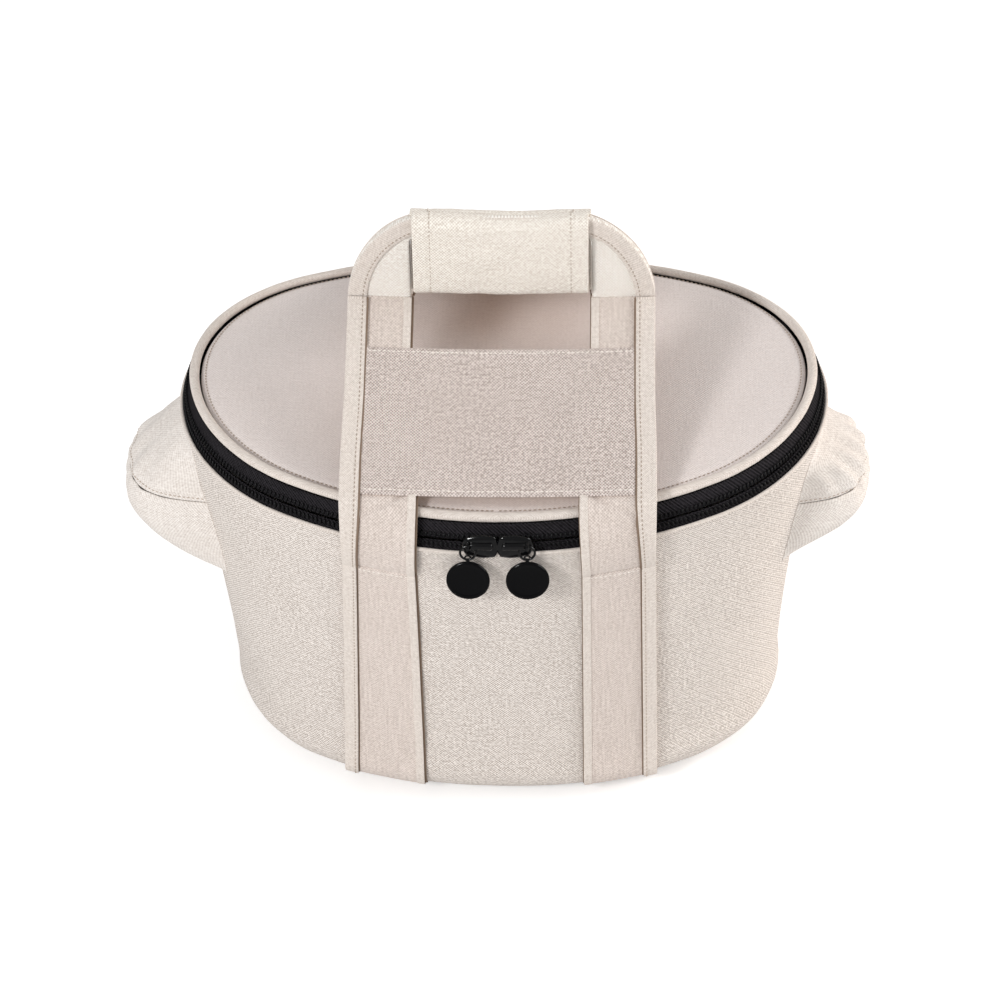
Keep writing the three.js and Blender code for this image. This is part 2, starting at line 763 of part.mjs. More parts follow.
function slider() {
  const front = -lidHalfWidth;
  const nose = sliderNoseGap;
  const tail = sliderNoseGap + sliderLength;
  const half = sliderHeight / 2;
  const outline = new THREE.Shape();
  outline.moveTo(nose + sliderNoseCut, -half);
  outline.lineTo(tail - sliderTailTaper, -half);
  outline.lineTo(tail, -half + sliderTailCut);
  outline.lineTo(tail, half - sliderTailCut);
  outline.lineTo(tail - sliderTailTaper, half);
  outline.lineTo(nose + sliderNoseCut, half);
  outline.lineTo(nose, half - sliderNoseCut);
  outline.lineTo(nose, -half + sliderNoseCut);
  const plate = new THREE.ExtrudeGeometry(outline, { depth: sliderPlate, bevelEnabled: false });
  plate.rotateX(Math.PI / 2);
  plate.translate(0, front - plateInner, zipSeam);
  const webDepth = plateInner - backOuter + 2 * joinDepth;
  const webY = front - (plateInner + backOuter) / 2;
  const web = block(sliderMiddle, webY, zipSeam, sliderLength - 2 * sliderWebInset, webDepth, sliderWeb);
  const backY = front - backOuter + sliderBackPlate / 2;
  const backLength = sliderLength - sliderWebInset;
  const back = block(sliderMiddle, backY, zipSeam, backLength, sliderBackPlate, sliderBackHeight);
  const postY = front - plateOuter - bailTunnel / 2;
  const postDepth = bailTunnel + 2 * joinDepth;
  const reach = bailTunnel / 2 + bailBar / 2;
  const lowPost = block(bailX, postY, pivotZ - reach, bailWidth, postDepth, bailBar);
  const highPost = block(bailX, postY, pivotZ + reach, bailWidth, postDepth, bailBar);
  const barY = front - plateOuter - bailTunnel - bailBar / 2;
  const bar = block(bailX, barY, pivotZ, bailWidth, bailBar, bailTunnel + 2 * bailBar);
  return join(fromGeometry(plate), web, back, lowPost, highPost, bar);
}

function ring(wire) {
  const torus = new THREE.TorusGeometry(ringRadius, wire, 8, 20);
  torus.rotateX(Math.PI / 2);
  torus.translate(bailX, -lidHalfWidth - pivotOffset, pivotZ - ringRadius);
  return fromGeometry(torus);
}

function disc() {
  const half = discThickness / 2;
  const profile = [
    [0, -half], [discRadius - discBevel, -half], [discRadius, -half + discBevel],
    [discRadius, half - discBevel], [discRadius - discBevel, half], [0, half],
  ].map(([radius, height]) => new THREE.Vector2(radius, height));
  const plate = new THREE.LatheGeometry(profile, 32);
  const lugHeight = lugLength + discBevel;
  const ringBottom = pivotZ - 2 * ringRadius;
  const top = ringBottom + ringWire + gap + lugOverRing;
  const centreZ = top - lugLength - discRadius;
  plate.translate(bailX, -lidHalfWidth - pivotOffset, centreZ);
  const lug = block(bailX, -lidHalfWidth - pivotOffset, top - lugHeight / 2, lugWidth, discThickness, lugHeight);
  return cut(join(fromGeometry(plate), lug), ring(ringWire + gap));
}

function addSliders() {
  const pieces = [
    ["slider", slider()],
    ["pull_ring", ring(ringWire)],
    ["pull_disc", disc()],
  ];
  for (const [name, shape] of pieces) {
    const placed = alongFront(shape, sliderMiddle);
    add(`right_${name}`, placed, metalBlack);
    add(`left_${name}`, mirrored(placed, 0), metalBlack);
  }
}

addBody();
addEars();
addZip();
addLid();
addBodyStraps();
addHandles();
addSliders();

export default bag;
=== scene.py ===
"""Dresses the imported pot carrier: canvas, piping, zip, handles and pulls, then the floor, lamps and camera.

Lengths are in millimetres until a mesh is made, and finished meshes are in metres.
"""
import logging
import math
from dataclasses import dataclass, field
from enum import Enum
from functools import cached_property
from itertools import accumulate, pairwise
from typing import Callable, Iterable

import bmesh
import bpy
from mathutils import Matrix, Vector, noise


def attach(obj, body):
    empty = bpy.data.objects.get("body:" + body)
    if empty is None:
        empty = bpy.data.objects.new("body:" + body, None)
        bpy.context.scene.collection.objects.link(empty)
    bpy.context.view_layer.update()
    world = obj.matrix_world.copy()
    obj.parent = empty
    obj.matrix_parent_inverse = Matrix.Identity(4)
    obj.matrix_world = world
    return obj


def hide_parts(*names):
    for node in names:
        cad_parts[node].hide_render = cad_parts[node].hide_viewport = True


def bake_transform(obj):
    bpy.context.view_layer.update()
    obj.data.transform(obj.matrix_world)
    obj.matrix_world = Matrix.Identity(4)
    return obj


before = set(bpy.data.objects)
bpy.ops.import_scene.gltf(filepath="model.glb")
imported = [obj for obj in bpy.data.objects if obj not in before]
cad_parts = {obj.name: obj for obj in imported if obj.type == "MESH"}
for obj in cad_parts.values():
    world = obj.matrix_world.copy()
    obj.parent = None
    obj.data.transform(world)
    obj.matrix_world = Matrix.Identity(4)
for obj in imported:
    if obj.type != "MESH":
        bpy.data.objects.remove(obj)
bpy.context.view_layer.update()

MM = 0.001
LOG = logging.getLogger("pot_carrier")

Point = tuple[float, float, float]
Point2 = tuple[float, float]
Place = Callable[[float, float], Point]


def mix(start: float, end: float, share: float) -> float:
    """Returns the value a share of the way from start to end."""
    return start + (end - start) * share


def ease(value: float) -> float:
    """Returns a smooth step from 0 to 1 for a value that is clamped to that range."""
    held = min(max(value, 0.0), 1.0)
    return held * held * (3 - 2 * held)


def hump(value: float, centre: float, width: float) -> float:
    """Returns a bell of height 1 round a centre, about width wide each way."""
    return math.exp(-((value - centre) / width) ** 2)


def run_lengths(points: Iterable[Vector]) -> list[float]:
    """Returns the length along a line of points, at each of them."""
    return list(accumulate(((after - before).length for before, after in pairwise(points)), initial=0.0))


def turned_to(ahead: Vector, beside: Vector, away: Vector) -> Matrix:
    """Returns the turn that takes the X, Y and Z axes to three directions."""
    return Matrix((ahead, beside, away)).transposed().to_4x4()


@dataclass(frozen=True)
class Ripple:
    """Smooth unevenness: the depth and length of its waves, and a seed that picks one pattern."""

    depth: float
    wavelength: float
    seed: float

    def at(self, a: float, b: float = 0.0, c: float = 0.0) -> float:
        """Returns how far it moves the cloth, by up to three lengths along it."""
        place = Vector((a, b, c)) / self.wavelength + Vector((0.0, 0.0, self.seed))
        return self.depth * noise.fractal(place, 1.0, 2.0, 3)


@dataclass(frozen=True)
class Crease:
    """A ridge with a bell's section, or a groove where its height is below 0."""

    height: float
    centre: float
    width: float

    def at(self, value: float) -> float:
        """Returns how far it moves the cloth, by the length across it."""
        return self.height * hump(value, self.centre, self.width)


class Body(str, Enum):
    """The bodies that pieces ride on."""

    BAG = "bag_body"
    LID = "lid"
    FRONT_HANDLE = "front_handle"
    REAR_HANDLE = "rear_handle"


class Side(Enum):
    """The right or the left half of the bag."""

    RIGHT = 1
    LEFT = -1

    @property
    def word(self) -> str:
        """Returns the side's name in a node."""
        return self.name.lower()


class End(Enum):
    """The front or the rear of the bag, by the sign of Y there."""

    FRONT = -1
    REAR = 1

    @property
    def word(self) -> str:
        """Returns the end's name in a node."""
        return self.name.lower()

    @property
    def handle(self) -> Body:
        """Returns the handle at the end."""
        return Body.FRONT_HANDLE if self is End.FRONT else Body.REAR_HANDLE


class Slot(str, Enum):
    """The record's material slots."""

    CREAM = "cream_canvas"
    GREY = "grey_canvas"
    TRIM = "cream_binding"
    ZIP = "black_zip"
    METAL = "black_metal"
    FOAM = "foam"
    LINING = "lining"
    BOARD = "board"
    HOOK = "hook_strip"


# Shapes that several pieces share


@dataclass(frozen=True)
class Oval:
    """The four-centre oval that every level of the bag follows, and the saddle of its rim."""

    half_length: float = 178.0
    half_width: float = 127.0
    end_radius: float = 111.0
    rim_height: float = 227.0
    rim_rise: float = 10.0

    @cached_property
    def side_centre(self) -> float:
        """Returns how far the centre of an end arc lies from the middle."""
        return self.half_length - self.end_radius

    @cached_property
    def front_centre(self) -> float:
        """Returns how far behind the middle the centre of the front arc lies."""
        beyond = self.half_width - self.end_radius
        return (self.side_centre ** 2 - beyond ** 2) / (2 * beyond)

    @cached_property
    def front_radius(self) -> float:
        """Returns the radius of the front arc."""
        return self.half_width + self.front_centre

    @cached_property
    def half_angle(self) -> float:
        """Returns the angle of half the front arc."""
        return math.atan2(self.side_centre, self.front_centre)

    @cached_property
    def front_quarter(self) -> float:
        """Returns the length of half the front arc."""
        return self.half_angle * self.front_radius

    @cached_property
    def perimeter(self) -> float:
        """Returns the length of the whole oval."""
        return 4 * (self.front_quarter + (math.pi / 2 - self.half_angle) * self.end_radius)

    def point(self, turn: float, offset: float) -> tuple[float, float]:
        """A point of the oval, or outside or inside it.

        Args:
            turn: Whole turns from the front centre, towards +X.
            offset: Distance outside the oval.

        Returns:
            Its x and y.
        """
        turn = (turn + 0.5) % 1.0 - 0.5
        sign = -1.0 if turn < 0 else 1.0
        share = abs(turn)
        rear = share > 0.25
        length = (0.5 - share if rear else share) * self.perimeter
        on_front = length <= self.front_quarter
        if on_front:
            angle = length / self.front_radius
            radius, x, y = self.front_radius + offset, 0.0, self.front_centre
        else:
            angle = self.half_angle + (length - self.front_quarter) / self.end_radius
            radius, x, y = self.end_radius + offset, self.side_centre, 0.0
        x += radius * math.sin(angle)
        y -= radius * math.cos(angle)
        return sign * x, -y if rear else y

    def reach(self, x: float, offset: float) -> float:
        """Returns how far the front arc stands out at x, for a surface that far outside the oval."""
        return math.sqrt((self.front_radius + offset) ** 2 - x ** 2) - self.front_centre

    def arc_at(self, x: float) -> float:
        """Returns the length along the front arc to x."""
        return self.front_radius * math.asin(max(min(x / self.front_radius, 1.0), -1.0))

    def saddle(self, point: Point) -> Vector:
        """Returns a point in metres, raised as the saddle of the rim raises it."""
        x, y, z = point
        share = min(max(z / self.rim_height, 0.0), 1.0)
        return Vector((x, y, z + self.rim_rise * (x / self.half_length) ** 2 * share ** 2)) * MM


OVAL = Oval()


@dataclass(frozen=True)
class WallShape:
    """The wall of the bag in section, with its rounded foot and its soft unevenness."""

    body_top: float = 211.0
    base_inset: float = 19.5
    base_corner: float = 29.5
    flare: float = 6.0
    waist: float = 3.0
    canvas: float = 1.4
    foam: float = 5.0
    lining: float = 0.8
    gap: float = 0.3
    broad: Ripple = Ripple(1.3, 95.0, 40 / 95)
    broad_height: float = 0.8
    fine: Ripple = Ripple(0.45, 32.0, 500 / 32)
    held_top: float = 4.0
    free_height: float = 30.0
    held_foot: float = 14.0
    foot_bulge: Crease = Crease(1.0, 20.0, 13.0)
    foot_swell: float = 1.6
    foot_ripple: float = 0.8
    foot_wavelength: float = 34.0
    foot_seed: float = 900.0
    right_fullness: float = 1.8
    right_start: float = 110.0
    left_fullness: float = 1.6
    fuller_height: float = 60.0

    @property
    def flat_offset(self) -> float:
        """Returns the offset of the seam round the flat base."""
        return -self.base_inset - self.base_corner

    @property
    def corner_length(self) -> float:
        """Returns the length of the rounded foot in section."""
        return self.base_corner * math.pi / 2

    @property
    def lining_depth(self) -> float:
        """Returns how far inside the canvas face the lining lies."""
        return self.canvas + self.gap + self.foam + self.gap

    def offset(self, z: float) -> float:
        """Returns how far outside the oval the wall stands at a height."""
        share = (z - self.base_corner) / (self.body_top - self.base_corner)
        return mix(-self.base_inset, self.flare, share) - self.waist * 4 * share * (1 - share)

    def section(self, climb: float, top: float, depth: float = 0.0) -> tuple[float, float]:
        """A point of the section, from the base seam up.

        Args:
            climb: Share of the way up, by length.
            top: Height that the section ends at.
            depth: Distance inside the canvas face.

        Returns:
            Its offset and height.
        """
        length = climb * (self.corner_length + top - self.base_corner)
        if length >= self.corner_length:
            z = self.base_corner + length - self.corner_length
            return self.offset(z) - depth, z
        angle = length / self.base_corner
        radius = self.base_corner - depth
        return self.flat_offset + radius * math.sin(angle), self.base_corner - radius * math.cos(angle)

    def drape(self, turn: float, z: float) -> float:
        """Returns how far the soft wall bulges at a turn round the bag and a height."""
        x, y = OVAL.point(turn, 0.0)
        free = ease((self.body_top - self.held_top - z) / self.free_height)
        waves = (self.broad.at(x, y, z * self.broad_height) + self.fine.at(x, y, z)) * ease(z / self.held_foot)
        fuller = self.left_fullness * ease(-x / OVAL.half_length) * ease(z / self.fuller_height)
        uneven = self.foot_ripple * noise.noise(Vector((x, y, self.foot_seed)) / self.foot_wavelength)
        foot = self.foot_bulge.at(z) * (self.foot_swell + uneven + self.right_fullness * ease(x / self.right_start))
        return free * (waves + fuller) + foot


WALL = WallShape()


@dataclass(frozen=True)
class BandShape:
    """The zip band between the wall's top and the lid."""

    tape: float = 0.8
    lean: float = 0.28
    tuck: float = 9.0
    seam_drop: float = 10.5
    spacing: float = 1.4

    @property
    def seam(self) -> float:
        """Returns the height of the line where the two coils meet."""
        return OVAL.rim_height - self.seam_drop

    @property
    def foot(self) -> float:
        """Returns the height of the tape's hidden lower edge."""
        return WALL.body_top - self.tuck

    def offset(self, z: float) -> float:
        """Returns how far outside the oval the tape's face stands at a height."""
        if z >= WALL.body_top:
            return -0.5 + self.lean * (OVAL.rim_height - z)
        return WALL.offset(z) - WALL.canvas - WALL.gap


BAND = BandShape()


# Node groups and finishes


class Graph:
    """A short way to write a node tree."""

    def __init__(self, tree: bpy.types.NodeTree) -> None:
        """Starts on an empty tree."""
        self.tree = tree
        self.tree.nodes.clear()

    def node(self, kind: str, **settings: object) -> bpy.types.Node:
        """Adds a node.

        Args:
            kind: The node's type.
            settings: Values of its properties.

        Returns:
            The node.
        """
        made = self.tree.nodes.new(kind)
        for name, value in settings.items():
            setattr(made, name, value)
        return made

    def feed(self, node: bpy.types.Node, name: str | int, value: object) -> None:
        """Links a socket to an input, or sets the input to a plain value."""
        if isinstance(value, bpy.types.NodeSocket):
            self.tree.links.new(value, node.inputs[name])
        else:
            node.inputs[name].default_value = value

    def math(self, operation: str, first: object, second: object = 0.0) -> bpy.types.NodeSocket:
        """Returns the result of a sum on one or two values."""
        made = self.node("ShaderNodeMath", operation=operation)
        self.feed(made, 0, first)
        self.feed(made, 1, second)
        return made.outputs[0]

    def wave(self, length: object, pitch: object) -> bpy.types.NodeSocket:
        """Returns a sine along a length, once per pitch."""
        turns = self.math("DIVIDE", length, pitch)
        return self.math("SINE", self.math("MULTIPLY", turns, 2 * math.pi))

    def weighed(self, parts: Iterable[tuple[object, object]]) -> bpy.types.NodeSocket:
        """Returns the sum of pairs of a value and its weight, and a half."""
        total: object = 0.5
        for value, weight in parts:
            total = self.math("ADD", total, self.math("MULTIPLY", value, weight))
        return total

    def speckle(self, vector: object, scale: float, stretch: Point = (1, 1, 1),
                detail: float = 2.0) -> bpy.types.NodeSocket:
        """Noise round 0 on a stretched vector.

        Args:
            vector: Where the noise is read.
            scale: Bumps per metre.
            stretch: The vector's scale on each axis.
            detail: Finer levels of the noise.

        Returns:
            A value from about -0.5 to 0.5.
        """
        turned = self.node("ShaderNodeMapping")
        self.feed(turned, "Vector", vector)
        self.feed(turned, "Scale", stretch)
        made = self.node("ShaderNodeTexNoise")
        self.feed(made, "Vector", turned.outputs[0])
        self.feed(made, "Scale", scale)
        self.feed(made, "Detail", detail)
        return self.math("SUBTRACT", made.outputs["Fac"], 0.5)

    def blend_colours(self, share: object, dark: Point, light: Point) -> bpy.types.NodeSocket:
        """Returns the colour a share of the way from dark to light."""
        made = self.node("ShaderNodeMix", data_type="RGBA")
        self.feed(made, 0, share)
        self.feed(made, 6, (*dark, 1.0))
        self.feed(made, 7, (*light, 1.0))
        return made.outputs[2]

    def shade(self, settings: dict[str, object]) -> None:
        """Ends a material in a Principled shader, with a value or a socket for each input by name."""
        shader = self.node("ShaderNodeBsdfPrincipled")
        for name, value in settings.items():
            self.feed(shader, name, value)
        self.feed(self.node("ShaderNodeOutputMaterial"), "Surface", shader.outputs[0])


def start_group(name: str, amounts: Iterable[str]) -> tuple[Graph, object, object]:
    """Starts a shader node group that gives a tone and a height at a place.

    Args:
        name: The group's name.
        amounts: Names of the plain values that it takes.

    Returns:
        Its graph, its inputs' sockets and its output node.
    """
    tree = bpy.data.node_groups.new(name, "ShaderNodeTree")
    graph = Graph(tree)
    tree.interface.new_socket("Vector", in_out="INPUT", socket_type="NodeSocketVector")
    for socket, direction in [(amount, "INPUT") for amount in amounts] + [("Tone", "OUTPUT"), ("Height", "OUTPUT")]:
        tree.interface.new_socket(socket, in_out=direction, socket_type="NodeSocketFloat")
    return graph, graph.node("NodeGroupInput").outputs, graph.node("NodeGroupOutput")


@dataclass
class Effects:
    """Node groups that several finishes share, each built once. Scales are in bumps per metre."""

    sway_scale: float = 90.0
    sway: float = 0.0012
    patch_scale: float = 14.0
    patch_base: float = 0.8
    patch_gain: float = 2.0
    twill_slope: float = 1.4
    slub_scale: float = 60.0
    slub_stretch: Point2 = (14.0, 0.8)
    dot_scale: float = 620.0
    dot_gain: float = 2.2
    slow_scale: float = 25.0

    @cached_property
    def threads(self) -> bpy.types.NodeTree:
        """Returns the woven threads of a cloth, laid out on its own flat lengths."""
        graph, given, out = start_group("woven threads", ("Pitch", "Weave", "Twill", "Warp", "Weft", "Patches"))
        place, pitch = given["Vector"], given["Pitch"]
        parts = graph.node("ShaderNodeSeparateXYZ")
        graph.feed(parts, 0, place)
        swayed = graph.math("MULTIPLY", graph.speckle(place, self.sway_scale), self.sway)
        along = graph.math("ADD", parts.outputs[0], swayed)
        across = graph.math("SUBTRACT", parts.outputs[1], swayed)
        patches = graph.speckle(place, self.patch_scale, detail=4.0)
        depth = graph.math("ADD", self.patch_base, graph.math("MULTIPLY", patches, self.patch_gain))
        crossing = graph.math("MULTIPLY", graph.math("MULTIPLY", graph.wave(along, pitch), graph.wave(across, pitch)),
                              depth)
        diagonal = graph.wave(graph.math("ADD", along, across), graph.math("MULTIPLY", pitch, self.twill_slope))
        short, long = self.slub_stretch
        warp = graph.speckle(place, self.slub_scale, (short, long, 1), 3.0)
        weft = graph.speckle(place, self.slub_scale, (long, short, 1), 3.0)
        dots = graph.math("MULTIPLY", graph.speckle(place, self.dot_scale, detail=1.0), self.dot_gain)
        graph.feed(out, "Tone", graph.weighed([
            (crossing, given["Weave"]), (diagonal, given["Twill"]), (warp, given["Warp"]), (weft, given["Weft"]),
            (dots, given["Weave"]), (patches, given["Patches"])]))
        graph.feed(out, "Height", graph.weighed([
            (crossing, 0.35), (diagonal, graph.math("MULTIPLY", given["Twill"], 2)), (warp, 0.6), (weft, 0.6),
            (dots, 0.4)]))
        return graph.tree

    @cached_property
    def grain(self) -> bpy.types.NodeTree:
        """Returns a fine even grain with slow variation, for what isn't woven."""
        graph, given, out = start_group("fine grain", ("Size", "Fine", "Slow"))
        cells = graph.node("ShaderNodeTexNoise")
        graph.feed(cells, "Vector", given["Vector"])
        graph.feed(cells, "Scale", graph.math("DIVIDE", 1.0, given["Size"]))
        graph.feed(cells, "Detail", 3.0)
        fine = graph.math("SUBTRACT", cells.outputs["Fac"], 0.5)
        slow = graph.speckle(given["Vector"], self.slow_scale)
        graph.feed(out, "Tone", graph.weighed([(fine, given["Fine"]), (slow, given["Slow"])]))
        graph.feed(out, "Height", cells.outputs["Fac"])
        return graph.tree


EFFECTS = Effects()


def finished(finish: "WovenFinish | GrainFinish", effect: bpy.types.NodeTree, place: tuple[str, int],
             settings: dict[str, float]) -> bpy.types.Material:
    """Makes a finish's material from one of the shared effects.

    Args:
        finish: The finish, with a field for each of the effect's plain values.
        effect: The effect's node group.
        place: The node that gives the place, and the number of its output.
        settings: Values of the shader's other inputs, by name.

    Returns:
        The material.
    """
    graph, made = start_material(finish.name)
    pattern = graph.node("ShaderNodeGroup", node_tree=effect)
    graph.feed(pattern, 0, graph.node(place[0]).outputs[place[1]])
    for socket in pattern.inputs[1:]:
        socket.default_value = getattr(finish, socket.name.lower())
    tone, height = pattern.outputs
    bump = graph.node("ShaderNodeBump")
    graph.feed(bump, "Distance", finish.relief)
    graph.feed(bump, "Height", height)
    roughness = finish.roughness
    if finish.unevenness:
        roughness = graph.math("ADD", roughness, graph.math("MULTIPLY", tone, finish.unevenness))
    graph.shade({"Base Color": graph.blend_colours(tone, finish.dark, finish.light), "Roughness": roughness,
                 "Normal": bump.outputs[0], "Specular IOR Level": finish.gleam, **settings})
    return made


def start_material(name: str) -> tuple[Graph, bpy.types.Material]:
    """Returns the empty graph of a new material, and the material."""
    made = bpy.data.materials.new(name)
    made.use_nodes = True
    return Graph(made.node_tree), made


def linear(red: int, green: int, blue: int) -> Point:
    """Returns a screen colour as linear light."""
    def one(value: int) -> float:
        """Returns one channel as linear light."""
        share = value / 255
        return share / 12.92 if share <= 0.04045 else ((share + 0.055) / 1.055) ** 2.4
    return one(red), one(green), one(blue)


@dataclass(frozen=True)
class WovenFinish:
    """A woven cloth or tape whose pattern follows the piece's own flat lengths."""

    name: str
    slot: Slot
    dark: Point
    light: Point
    pitch: float = 0.0018
    weave: float = 0.48
    twill: float = 0.0
    warp: float = 0.6
    weft: float = 0.6
    patches: float = 0.3
    relief: float = 0.00022
    roughness: float = 0.92
    unevenness: float = 0.0
    sheen: float = 0.12
    gleam: float = 0.25

    def material(self) -> bpy.types.Material:
        """Returns the finished material."""
        return finished(self, EFFECTS.threads, ("ShaderNodeUVMap", 0),
                        {"Sheen Weight": self.sheen, "Sheen Roughness": 0.6})


@dataclass(frozen=True)
class GrainFinish:
    """A finish with a fine grain, such as foam, board, thread, coil or enamel."""

    name: str
    slot: Slot
    dark: Point
    light: Point
    size: float = 0.0008
    fine: float = 0.6
    slow: float = 0.4
    relief: float = 0.0001
    roughness: float = 0.85
    unevenness: float = 0.08
    coat: float = 0.0
    gleam: float = 0.5

    def material(self) -> bpy.types.Material:
        """Returns the finished material."""
        return finished(self, EFFECTS.grain, ("ShaderNodeTexCoord", 3),
                        {"Coat Weight": self.coat, "Coat Roughness": 0.08})


class Finish(Enum):
    """Every finish on the bag."""

    BODY = WovenFinish("cream body canvas", Slot.CREAM, linear(180, 169, 160), linear(246, 238, 231), weave=1.0,
                       twill=0.15)
    # Painted light: the cream canvas made lighter for the pockets, in place of the extra light that falls on them; its
    # weave is also fainter.
    POCKET = WovenFinish("cream pocket canvas", Slot.CREAM, linear(206, 196, 188), linear(252, 246, 240), weave=0.45)
    LID = WovenFinish("grey lid canvas", Slot.GREY, linear(209, 198, 193), linear(243, 234, 230), weave=0.35,
                      warp=0.35, weft=0.35)
    PANEL = WovenFinish("grey panel canvas", Slot.GREY, linear(160, 146, 138), linear(231, 219, 213), weave=1.0)
    STRAP = WovenFinish("warm grey strap canvas", Slot.GREY, linear(190, 176, 167), linear(238, 226, 218), weave=0.6,
                        warp=0.9, weft=0.3)
    GRIP = WovenFinish("cream grip canvas", Slot.CREAM, linear(212, 201, 189), linear(255, 250, 241), weave=0.9,
                       warp=0.4, weft=0.4)
    # Painted light: the grip's cream canvas made lighter for the arch, in place of more light on its upright face; its
    # weave is also fainter.
    ARCH = WovenFinish("cream arch canvas", Slot.CREAM, linear(222, 212, 202), linear(255, 252, 246), weave=0.7,
                       warp=0.4, weft=0.4)
    TRIM = WovenFinish("cream binding", Slot.TRIM, linear(200, 188, 178), linear(243, 234, 226), pitch=0.0014,
                       weave=0.5, warp=0.5, weft=0.4)
    # Painted shadow: a dark brown finish for thin strips that stand in for the shade beside a strap's binding and
    # along its inner edge.
    SEAM = GrainFinish("painted shadow line", Slot.TRIM, linear(112, 92, 76), linear(150, 130, 112), size=0.0005)
    LINING = WovenFinish("grey lining", Slot.LINING, linear(160, 156, 150), linear(198, 194, 188), pitch=0.0006,
                         weave=0.15, twill=0.1, warp=0.2, weft=0.2, relief=0.00008, roughness=0.6, sheen=0.3)
    TAPE = WovenFinish("black zip tape", Slot.ZIP, linear(12, 11, 12), linear(54, 51, 55), pitch=0.0016, weave=0.4,
                       twill=0.3, warp=0.4, weft=0.4, relief=0.0003, roughness=0.8, sheen=0.0, gleam=0.1)
    # Partly painted shade: the thread is darkened to stand in for the shade of the needle holes and dimples along the
    # stitching.
    THREAD = GrainFinish("sewing thread", Slot.TRIM, linear(150, 132, 117), linear(190, 175, 160), size=0.0004)
    SOFT = GrainFinish("light brown thread", Slot.TRIM, linear(172, 156, 142), linear(204, 190, 177), size=0.0004)
    PALE = GrainFinish("pale sewing thread", Slot.TRIM, linear(236, 227, 217), linear(255, 250, 244), size=0.0004)
    # Painted light: a warm tan for the cross panels' undersides, which stands in for warm bounce light in the shade
    # under the handles.
    REVERSE = WovenFinish("warm reverse of the panel", Slot.GREY, linear(206, 179, 157), linear(241, 219, 200))
    COIL = GrainFinish("black nylon coil", Slot.ZIP, linear(5, 5, 6), linear(24, 24, 27), roughness=0.4, gleam=0.3)
    ENAMEL = GrainFinish("black enamel", Slot.METAL, linear(3, 3, 4), linear(10, 10, 12), fine=0.2, relief=0.00001,
                         roughness=0.2, coat=0.4, gleam=0.1)
    GLOSS = GrainFinish("glossy black enamel", Slot.METAL, linear(2, 2, 3), linear(8, 8, 10), fine=0.2,
                        relief=0.00001, roughness=0.12, coat=1.0, gleam=0.3)
    FOAM = GrainFinish("grey foam", Slot.FOAM, linear(166, 163, 158), linear(204, 200, 194), size=0.0012,
                       relief=0.0004)
    BOARD = GrainFinish("base board", Slot.BOARD, linear(122, 116, 108), linear(160, 152, 144), size=0.002)
    HOOK = GrainFinish("hook and loop strip", Slot.HOOK, linear(190, 182, 172), linear(232, 225, 215), size=0.0007,
                       relief=0.0006)

    @cached_property
    def made(self) -> bpy.types.Material:
        """Returns the material, built once."""
        return self.value.material()


# Making and settling meshes


def measured(table: list[list[Vector]]) -> list[list[tuple[float, float]]]:
    """Flat lengths on a grid of points, as if the cloth there were laid out.

    Args:
        table: Rows of points, in metres.

    Returns:
        For each point its length along its row, from the row's middle, and its row's mean length from the first.
    """
    columns = len(table[0])
    climb = 0.0
    flat = []
    for number, row in enumerate(table):
        runs = run_lengths(row)
        if number:
            climb += sum((at - below).length for at, below in zip(row, table[number - 1])) / columns
        flat.append([(run - runs[columns // 2], climb) for run in runs])
    return flat


def loft(name: str, columns: int, rows: int, place: Place, hole: Callable[[float, float], bool] | None = None,
         closed: bool = False) -> bpy.types.Object:
    """Bends a grid to a surface, and lays its weave out by its true lengths.

    Args:
        name: The piece's name.
        columns: Faces across.
        rows: Faces up.
        place: Gives the point, in millimetres, for a share across and a share up.
        hole: True where a face is left out, by its middle's shares.
        closed: Whether the surface closes on itself both ways, so it has an inside.

    Returns:
        The piece, with its place in its mesh.
    """
    table = [[OVAL.saddle(place(column / columns, row / rows)) for column in range(columns + 1)]
             for row in range(rows + 1)]
    lengths = measured(table)
    work = bmesh.new()
    grid = Matrix.Diagonal((columns / 2, rows / 2, 1.0, 1.0))
    lift = Matrix.Translation((columns / 2, rows / 2, 0.0))
    bmesh.ops.create_grid(work, x_segments=columns, y_segments=rows, size=1.0, matrix=lift @ grid)
    if hole:
        middles = {face: face.calc_center_median() for face in work.faces}
        gone = [face for face, at in middles.items() if hole(at.x / columns, at.y / rows)]
        bmesh.ops.delete(work, geom=gone, context="FACES")
    flat = work.loops.layers.uv.new("cloth")
    for face in work.faces:
        face.smooth = True
        for loop in face.loops:
            loop[flat].uv = lengths[round(loop.vert.co.y)][round(loop.vert.co.x)]
    for vertex in work.verts:
        vertex.co = table[round(vertex.co.y)][round(vertex.co.x)]
    bmesh.ops.remove_doubles(work, verts=work.verts, dist=0.02 * MM)
    bmesh.ops.dissolve_degenerate(work, edges=work.edges, dist=0.005 * MM)
    if closed:
        bmesh.ops.recalc_face_normals(work, faces=work.faces)
    return to_object(name, work)


def to_object(name: str, work: bmesh.types.BMesh) -> bpy.types.Object:
    """Returns a new object of a bmesh, which is freed."""
    mesh = bpy.data.meshes.new(name)
    work.to_mesh(mesh)
    work.free()
    made = bpy.data.objects.new(name, mesh)
    bpy.context.scene.collection.objects.link(made)
    return made


def lay_flat(piece: bpy.types.Object, upright: bool = False) -> bpy.types.Object:
    """Lets the weave run straight across a piece that lies flat, or that stands upright, and returns it."""
    layer = piece.data.uv_layers["cloth"].data
    for loop in piece.data.loops:
        place = piece.data.vertices[loop.vertex_index].co
        layer[loop.index].uv = (place.x, place.z if upright else place.y)
    return piece


